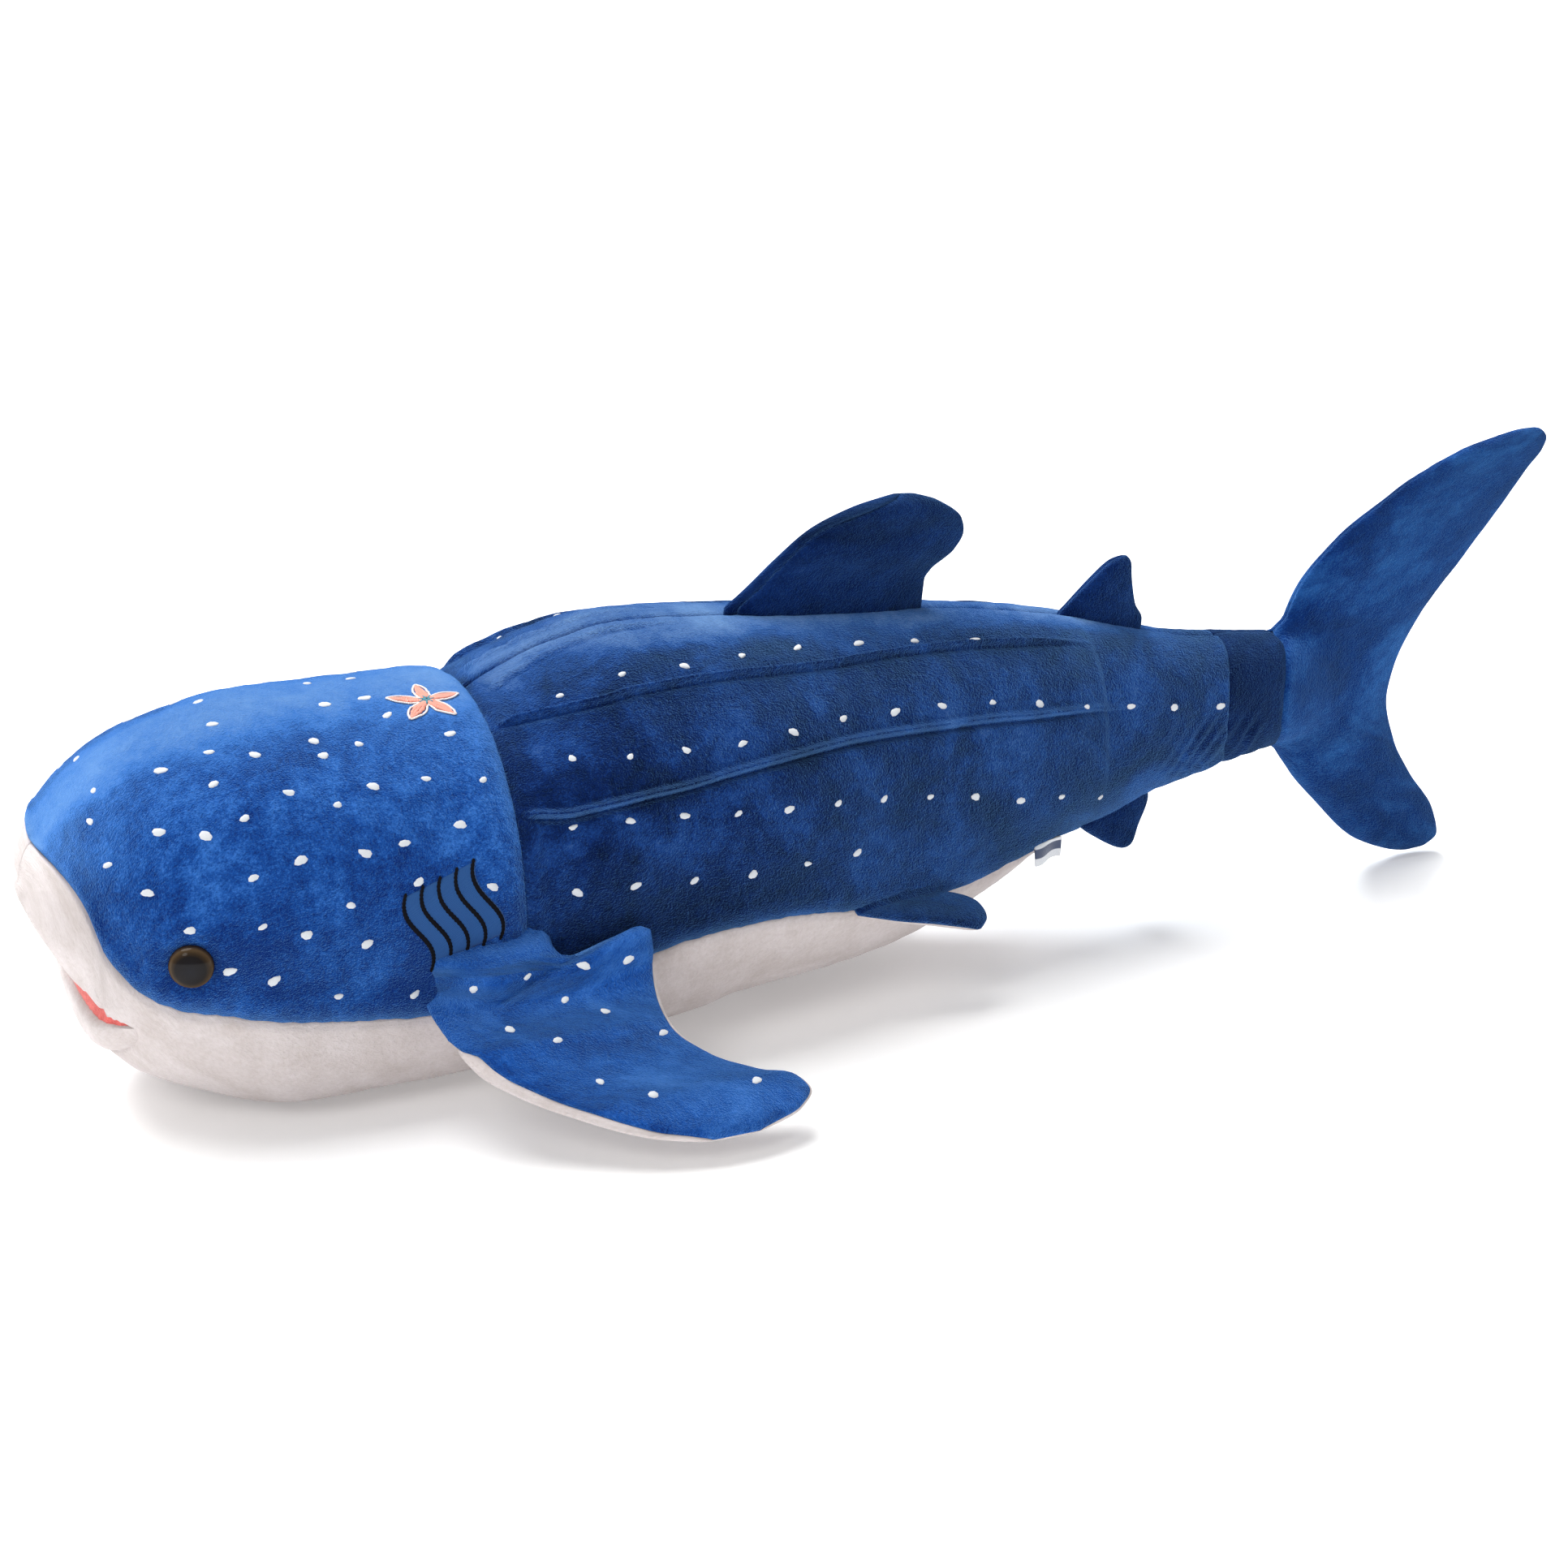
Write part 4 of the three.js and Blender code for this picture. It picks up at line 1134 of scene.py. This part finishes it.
def body_stuffing(material):
    """The loose fibre that fills the body, a little inside the covers."""
    rows = np.concatenate([[5.0, 7.0], stations(10, WRIST + 4, 2, 9)])
    panel = Panel(rows, crown_from_below, crown, 65)
    y, z = panel.points[..., 1], panel.points[..., 2]
    mouth = smooth(-3, 3, mouth_depth(y, z)) * snout(panel.station)
    inset = 6.5 + 7 * mouth + 9 * hill(from_eye(panel.points), 15)
    grid = panel.raised(0.8 * lumps(panel.points, 12, 71) - inset)[:, :-1]
    piece = solid("body_stuffing", grid, material)
    return finish(piece, BODY, BODY_BEND,
                  ("body_filling", "tail_filling"))


STUFFING_INSET = 3.2


def fin_stuffing(name, label, sign, material, bodies, bend, rows=26, columns=22):
    """The fibre inside a fin, which stops short of a root that the outline sweeps back from."""
    fin = FINS[name]
    top = fin_grid(fin, 1, STUFFING_INSET, rows, columns)
    bottom = fin_grid(fin, -1, STUFFING_INSET, rows, columns)
    first = max(2, int(np.searchsorted(top[1][:, 0], fin.get("stuffed", fin["root"]))))
    top, bottom = fin_point(fin, sign, *top), fin_point(fin, sign, *bottom)
    loop = np.concatenate([top[first:-1], bottom[first:-1, -2:0:-1]], axis=1)
    piece = solid(f"{label}_stuffing", loop, material)
    return finish(piece, bodies, bend, (f"{label}_filling",))


# ---- embroidery ----
def tree_of(piece):
    mesh = piece.data
    return BVHTree.FromPolygons([v.co for v in mesh.vertices], [p.vertices for p in mesh.polygons])


def on_cloth(tree, point, lift):
    """The place on a cover's surface nearest to a point, raised by lift millimetres."""
    place, normal, _, _ = tree.find_nearest(Vector(point))
    return place + normal * (lift * MM)


def stitched(name, parts, material):
    """One piece from the points, faces and cloth coordinates of several stitches."""
    points, faces, cloth = zip(*parts)
    starts = np.cumsum([0] + [len(part) for part in points[:-1]])
    faces = [part + start for part, start in zip(faces, starts)]
    return add_mesh(name, np.concatenate(points), np.concatenate(faces), material, np.concatenate(cloth))


SPOT_RINGS = ((0.4, 0.62), (0.7, 0.5), (0.9, 0.3), (1.0, 0.05), (0.97, -0.5))  # (reach, height)
SPOT_TIPS = (0.68, -0.5)
AROUND_SPOT = 24


def spot(tree, point, radius, rng):
    """One satin-stitched dot: a low irregular dome that follows the cloth."""
    place, normal, _, _ = tree.find_nearest(Vector(point))
    side = normal.cross(Vector((0, 0, 1))).normalized()
    rise = normal.cross(side).normalized()
    spin, lean, lobe = rng.uniform(-0.6, 0.6), rng.uniform(0, 6.28), rng.uniform(0, 6.28)
    long, tail = rng.uniform(1.12, 1.38), rng.uniform(0.05, 0.3)
    turn = np.arange(AROUND_SPOT)
    angle = 2 * math.pi * turn / AROUND_SPOT
    ragged = 1 + tail * np.cos(angle - lean) ** 3 + 0.06 * np.sin(3 * angle + lobe)
    ragged += 0.05 * np.sin(7 * angle + 2 * lobe) + 0.04 * (turn % 2)
    x, y = radius * ragged * long * np.cos(angle), radius * ragged / long * np.sin(angle)
    a, b = x * math.cos(spin) - y * math.sin(spin), x * math.sin(spin) + y * math.cos(spin)
    grid = np.array([[to_mm(on_cloth(tree, place + (side * i + rise * j) * share * MM, lift))
                      for i, j in zip(a.tolist(), b.tolist())] for share, lift in SPOT_RINGS])
    points, faces = capped(grid, [to_mm(on_cloth(tree, place, lift)) for lift in SPOT_TIPS])
    cloth = [np.stack([x, y], -1) * share for share, _ in SPOT_RINGS]
    return points, faces, np.concatenate([*cloth, np.zeros((2, 2))]) * MM


# (station, girth angle in degrees) of the stitched spots on the left of the head, from the crown down
HEAD_SPOTS = (
    (90, 82), (142, 82), (163, 83), (33, 75), (167, 73), (83, 69), (61, 67), (129, 65), (102, 64),
    (149, 62), (191, 62), (28, 60), (132, 59), (81, 56), (112, 48), (174, 47), (150, 46), (200, 44),
    (53, 43), (90, 42), (132, 42), (72, 38), (30, 35), (185, 31), (159, 28), (111, 27), (140, 27),
    (89, 24), (44, 21), (162, 17), (131, 13), (196, 13), (91, 10), (60, 8), (109, 7), (137, 3),
    (74, -1), (93, -1), (174, -2), (122, -4), (157, -6),
)
# rows of spots on the body: the first and last station, how many, and the girth angle along the row
BODY_ROWS = (
    (244, 464, 8, profile((244, 64.5), (302, 62.5), (375, 68), (425, 65), (464, 62))),
    (240, 606, 14, profile((240, 43), (267, 38), (320, 36), (384, 39), (456, 35), (512, 26), (606, 11))),
    (235, 533, 12, profile((235, 24), (293, 19), (383, 15), (452, 6), (510, -11), (533, -24))),
    (234, 381, 6, profile((234, 7), (294, 4), (381, 2))),
)
# (station, distance out from the root) of the spots on a pectoral fin
FIN_SPOTS = ((180, 18), (205, 14), (231, 14), (252, 22), (219, 27), (190, 36), (210, 46), (236, 37),
             (261, 50), (224, 70), (245, 82), (295, 84))


def stitch_spots(name, cover, places, radius, material, bodies, bend, seed):
    """All the spots of one cover as one piece that moves with it."""
    rng = random.Random(seed)
    tree = tree_of(cover)
    parts = []
    for place in places:
        nudged = [x + rng.uniform(-0.6, 0.6) for x in place]
        parts.append(spot(tree, row(*nudged), radius * rng.uniform(0.74, 1.16), rng))
    return finish(stitched(name, parts, material), bodies, bend)


def body_place(station, degrees, side):
    """A place a little outside the body, so that the nearest cloth is the outside of a cover."""
    point = skin(float(station), np.array(math.radians(degrees)))
    middle = np.array([station, 0, waist_line(station)])
    return (middle + 1.05 * (point - middle)) * [1, SIDES[side], 1]


def tube(path, radii, around=10, squash=0.7):
    """A closed thread along points with normals: flattened where it lies on the cloth."""
    grid, cloth = [], []
    for i, (place, normal) in enumerate(path):
        ahead = path[min(i + 1, len(path) - 1)][0] - path[max(i - 1, 0)][0]
        across = ahead.cross(normal).normalized()
        angles = [2 * math.pi * k / around for k in range(around)]
        offsets = [across * math.cos(angle) + normal * squash * math.sin(angle) for angle in angles]
        grid.append([to_mm(place + offset * float(radii[i]) * MM) for offset in offsets])
        cloth += [(i * 0.0004, k * 0.0005) for k in range(around)]
    points, faces = capped(np.array(grid), [to_mm(path[0][0]), to_mm(path[-1][0])])
    return points, faces, np.array([*cloth, (0.0, 0.0), (0.0, 0.0)])


def cloth_path(tree, places, lift):
    """Points and normals on a cover under a list of places."""
    path = []
    for place in places:
        found, normal, _, _ = tree.find_nearest(Vector(row(*place)))
        path.append((found + normal * (lift * MM), normal.copy()))
    return path


GILL = {"station": 156, "step": 8.2, "lines": 5, "top": 116, "bottom": 77, "climb": 2.6, "lean": 9,
        "curl": 2.6}


def gill_place(index, t, side):
    """A point along one S-shaped gill line."""
    sway = GILL["lean"] * (3 * t * t - 2 * t**3) - GILL["curl"] * math.sin(2 * math.pi * t)
    station = GILL["station"] + GILL["step"] * index + sway
    z = GILL["top"] + (GILL["bottom"] - GILL["top"]) * t + GILL["climb"] * index
    return skin(station, np.array(turn_at(station, z))) * [1, SIDES[side], 1]


def gill_stitching(side, tree, line_material, veil_material):
    """Five black lines of stitching over a thin teal veil."""
    steps = 70
    parts = []
    for index in range(GILL["lines"]):
        places = [gill_place(index, k / steps, side) for k in range(steps + 1)]
        path = cloth_path(tree, places, 0.4)
        k = np.arange(steps + 1)
        taper = np.sin(np.pi * (k + 2) / (steps + 4)) ** 0.35
        parts.append(tube(path, 0.25 + 0.85 * taper + 0.12 * (k % 3 - 1)))
    piece = stitched(f"gill_stitching_{side}", parts, line_material)
    finish(piece, ("trunk",), replaces=(f"gill_embroidery_{side}",))
    gill_veil(side, tree, veil_material)


def gill_veil(side, tree, material):
    rows, columns = 44, 30
    outer, inner = np.empty((rows, columns, 3)), np.empty((rows, columns, 3))
    for i, j in np.ndindex(rows, columns):
        line, t = -0.12 + 4.3 * i / (rows - 1), 0.04 + 0.9 * j / (columns - 1)
        edge = min(i, rows - 1 - i, j, columns - 1 - j)
        weave = 0.12 * ((i + j) % 2)
        place = row(*gill_place(line, t, side))
        outer[i, j] = to_mm(on_cloth(tree, place, min(0.5, 0.15 + 0.18 * edge) + weave))
        inner[i, j] = to_mm(on_cloth(tree, place, -0.4))
    veil = shell(f"gill_veil_{side}", outer, inner, material)
    finish(veil, ("trunk",))


STAR = {"station": 188, "y": -24, "reach": 17.5, "turned": 0.3}


def starfish(tree, coral, pale, teal):
    """A five-armed starfish in satin stitch on the crown, edged with loose pale threads."""
    def ray(radii, angles, lift, widths):
        """A thread out from the middle of the starfish through points at those radii and angles."""
        station = STAR["station"] + radii * np.cos(angles)
        y = STAR["y"] + radii * np.sin(angles)
        places = np.stack([station, y, top_line(station) + 4], -1)
        return tube(cloth_path(tree, places, lift), widths)

    step, short = np.arange(17), np.arange(7)
    arms, edges = [], []
    for angle in 2 * math.pi * np.arange(5) / 5 + STAR["turned"]:
        for lane in (-1, 0, 1):
            out = 2 + (STAR["reach"] - 2 - abs(lane)) * step / 16
            arms.append(ray(out, angle + 0.26 * lane * (1 - step / 17), 0.3,
                            1.5 - 0.06 * step + 0.12 * (step % 2)))
        for lane in (-1, 1):
            out = 3.5 + (STAR["reach"] - 2.6) * step / 16
            edges.append(ray(out, angle + 0.58 * lane * (1 - step / 16.2), 0.45, 0.5 + 0.08 * (step % 2)))
    hub = [ray(0.5 + 3.4 * short / 6, angle, 1.1, 0.75 - 0.05 * short)
           for angle in 2 * math.pi * np.arange(7) / 7]
    for name, parts, material in (("starfish_arms", arms, coral), ("starfish_outline", edges, pale),
                                  ("starfish_hub", hub, teal)):
        replaced = ("head_starfish_patch",) if parts is arms else ()
        finish(stitched(name, parts, material), ("trunk",), replaces=replaced)


# ---- eyes and label ----
def eye(side, material):
    """A domed safety eye: a turned rim, a clear dome and a stem through the cloth."""
    sign, radius, rim = SIDES[side], EYE["radius"], EYE["rim"]
    yaw = math.radians(EYE["yaw"])
    outline = [(2.2, -13), (2.2, 0.2), (9.2, 0.2), (radius, 0.7), (radius, rim)]
    for angle in np.linspace(0, TOP, 17)[1:]:
        outline.append((radius * math.cos(angle), rim + (EYE["dome"] - rim) * math.sin(angle)))
    reach, height = np.array(outline).T[..., None, None]
    out = np.array([-math.sin(yaw), -math.cos(yaw) * sign, 0])
    level, up = np.array([math.cos(yaw), -math.sin(yaw) * sign, 0]), np.array([0, 0, 1])
    seat = np.array([EYE["station"], -sign * half_width(EYE["station"]), EYE["height"]])
    around = 64
    swing = np.linspace(0, 2 * np.pi, around, endpoint=False)[:, None]
    grid = seat + out * height + reach * (level * np.cos(swing) + up * np.sin(swing))
    marks = np.append(np.repeat(reach / radius, around), [1, 0])
    marks[: 3 * around] = 1
    piece = solid(f"eye_dome_{side}", grid, material, marks.astype(np.float32))
    return finish(piece, ("trunk",), replaces=(f"eye_{side}",))


LABEL = {"station": 503, "y": -45.2, "top": 66.5, "width": 18, "leaf": 11, "thick": 0.35, "slant": 4.2}


def care_label(material):
    """A folded satin tape sewn into the belly seam; both its leaves hang down together."""
    across = np.linspace(-0.5, 0.5, 25)[:, None]
    down = np.linspace(-1, 1, 41)[None, :]
    station = LABEL["station"] + LABEL["width"] * across + 0 * down
    curl = 1.6 * np.sin(3.2 * across + 0.6) + 1.1 * np.sin(6 * across)
    y = LABEL["y"] + LABEL["slant"] * (across + 0.5) + 0.5 * np.sin(down * TOP)
    fold = np.sqrt(np.clip(1 - down**2, 0, 1))
    y = y + curl * fold * 0.9 - 1.4 * fold
    z = LABEL["top"] - LABEL["leaf"] * (1 - np.abs(down)) + 0.35 * np.sin(5 * across) * fold
    middle = np.stack([station, y, z], -1)
    normals = unit(np.cross(np.gradient(middle, axis=0), np.gradient(middle, axis=1)))
    outer, inner = middle + normals * LABEL["thick"] / 2, middle - normals * LABEL["thick"] / 2
    piece = shell("care_label_tape", outer, inner, material)
    finish(piece, ("care_label_flap",), replaces=("care_label",))


# ---- the toy ----
# each pile cloth's dark, middle and light tones, its sheen and patches, its place in the noise and,
# where it isn't the usual one, the spread of its tones
PILES = {
    "head": ((9, 44, 118), (26, 80, 166), (58, 120, 210), 1.0, 0.3, 0, 0.085),
    "back": ((2, 14, 52), (7, 32, 90), (27, 68, 142), 0.75, 0.45, 0.37, 0.085),
    "fin": ((2, 16, 54), (5, 30, 84), (20, 54, 120), 0.45, 0.4, 0.71),
    "wrist": ((0, 9, 40), (3, 20, 66), (12, 40, 98), 0.4, 0.4, 0.93),
    "tail": ((3, 28, 84), (12, 52, 122), (40, 94, 168), 0.55, 0.5, 0.13),
    "flipper": ((9, 44, 118), (26, 84, 174), (62, 122, 212), 0.9, 0.4, 0.53),
}
# each thread's shaded and lit tones, its pitch and, where they aren't the usual ones, roughness and sheen
THREADS = {
    "spot": ((205, 210, 218), (246, 248, 250), 0.45),
    "gill_line": ((3, 3, 8), (12, 12, 20), 0.5, 0.8, 0.0),
    "gill_veil": ((24, 62, 122), (50, 98, 158), 0.7, 0.8, 0.1),
    "starfish_coral": ((206, 112, 96), (244, 170, 150), 0.5),
    "starfish_pale": ((206, 196, 196), (246, 236, 230), 0.5),
    "starfish_teal": ((40, 104, 128), (84, 158, 172), 0.5),
}


def sew_covers():
    """Makes the covers and fins, and gives back those of the head and the back."""
    piles = {name: pile(f"{name}_pile_cloth", *look) for name, look in PILES.items()}
    white = fleece("white_fleece", (211, 202, 202), (190, 179, 176))
    coral = fleece("coral_fleece", (240, 122, 116), (214, 92, 88))
    head = head_cover(piles["head"])
    throat_cover(white)
    lower_lip(white)
    mouth_cloth(coral)
    belly_cover(white)
    wrist_cover(piles["wrist"])
    backs = {side: back_cover(side, piles["back"]) for side in SIDES}
    upright_fin("dorsal_fin", piles["fin"], 60, 44)
    upright_fin("second_dorsal_fin", piles["fin"])
    upright_fin("anal_fin", piles["fin"])
    tail_fin(piles["tail"])
    for side in SIDES:
        paired_fin("pectoral_fin", side, piles["flipper"], white, 84, 64, pectoral_crease)
        paired_fin("pelvic_fin", side, piles["back"], white, 40, 44)
    return head, backs


def stitch_side(side, seed, head, back, threads):
    """The spots of one side: on the head, the back and the pectoral fin."""
    places = [body_place(s, d, side) for s, d in HEAD_SPOTS]
    stitch_spots(f"head_spots_{side}", head, places, 2.1, threads["spot"], ("trunk",), None, 100 + seed)
    places = [body_place(s, line(s), side) for first, last, count, line in BODY_ROWS
              for s in np.linspace(first, last, count)]
    stitch_spots(f"back_spots_{side}", back, places, 1.9, threads["spot"], BODY, BODY_BEND,
                 200 + seed)
    flipper = bpy.data.objects[f"pectoral_fin_{side}_top_face"]
    over = np.float64(9)  # the places lie over the fin, so that the nearest cloth is its top
    places = [fin_point(FINS["pectoral_fin"], SIDES[side], np.float64(c), np.float64(u), over)
              for c, u in FIN_SPOTS]
    stitch_spots(f"pectoral_spots_{side}", flipper, places, 2.0, threads["spot"],
                 ("trunk", f"pectoral_fin_{side}"), fin_bend("pectoral_fin", SIDES[side]), 300 + seed)


def embroider(head, backs, eye_resin):
    """Everything that is stitched on or pushed through the covers."""
    threads = {name: thread(f"{name}_thread", *look) for name, look in THREADS.items()}
    head_tree = tree_of(head)
    for seed, side in enumerate(SIDES):
        stitch_side(side, seed, head, backs[side], threads)
        gill_stitching(side, head_tree, threads["gill_line"], threads["gill_veil"])
        eye(side, eye_resin)
    starfish(head_tree, *(threads[f"starfish_{name}"] for name in ("coral", "pale", "teal")))
    care_label(satin())


def stuff():
    """The fibre in the body and in each fin."""
    wadding = fibre()
    body_stuffing(wadding)
    for name, parent in UPRIGHT.items():
        fin_stuffing(name, name, 1, wadding, (parent, name), fin_bend(name))
    fin_stuffing("tail_fin", "tail_fin", 1, wadding, ("tail_fin",), None, 60, 26)
    for side, sign in SIDES.items():
        for name in ("pectoral_fin", "pelvic_fin"):
            label = f"{name}_{side}"
            fin_stuffing(name, label, sign, wadding, ("trunk", label), fin_bend(name, sign), 34, 26)


def paint_washers():
    plastic = washer_plastic()
    for side in SIDES:
        washer = frame["nodes"][f"eye_washer_{side}"]
        washer.data.materials.clear()
        washer.data.materials.append(plastic)


make_camera((-0.0335, 0, 0.101), azimuth=-23, elevation=22, distance=1.5, lens=69)
bpy.context.scene.view_settings.view_transform = "Standard"
make_world(0.33)
make_sun("overhead", (-0.25, 0.25, 1), 3.1, 40, (1, 0.99, 0.97))
make_sun("window", (-0.7, -0.6, 0.9), 0.6, 20, (1, 0.98, 0.95))
make_sun("rim", (-0.1, 0.75, 0.9), 3.0, 25, (0.92, 0.97, 1))
make_floor(80)
embroider(*sew_covers(), eye_plastic())
stuff()
paint_washers()
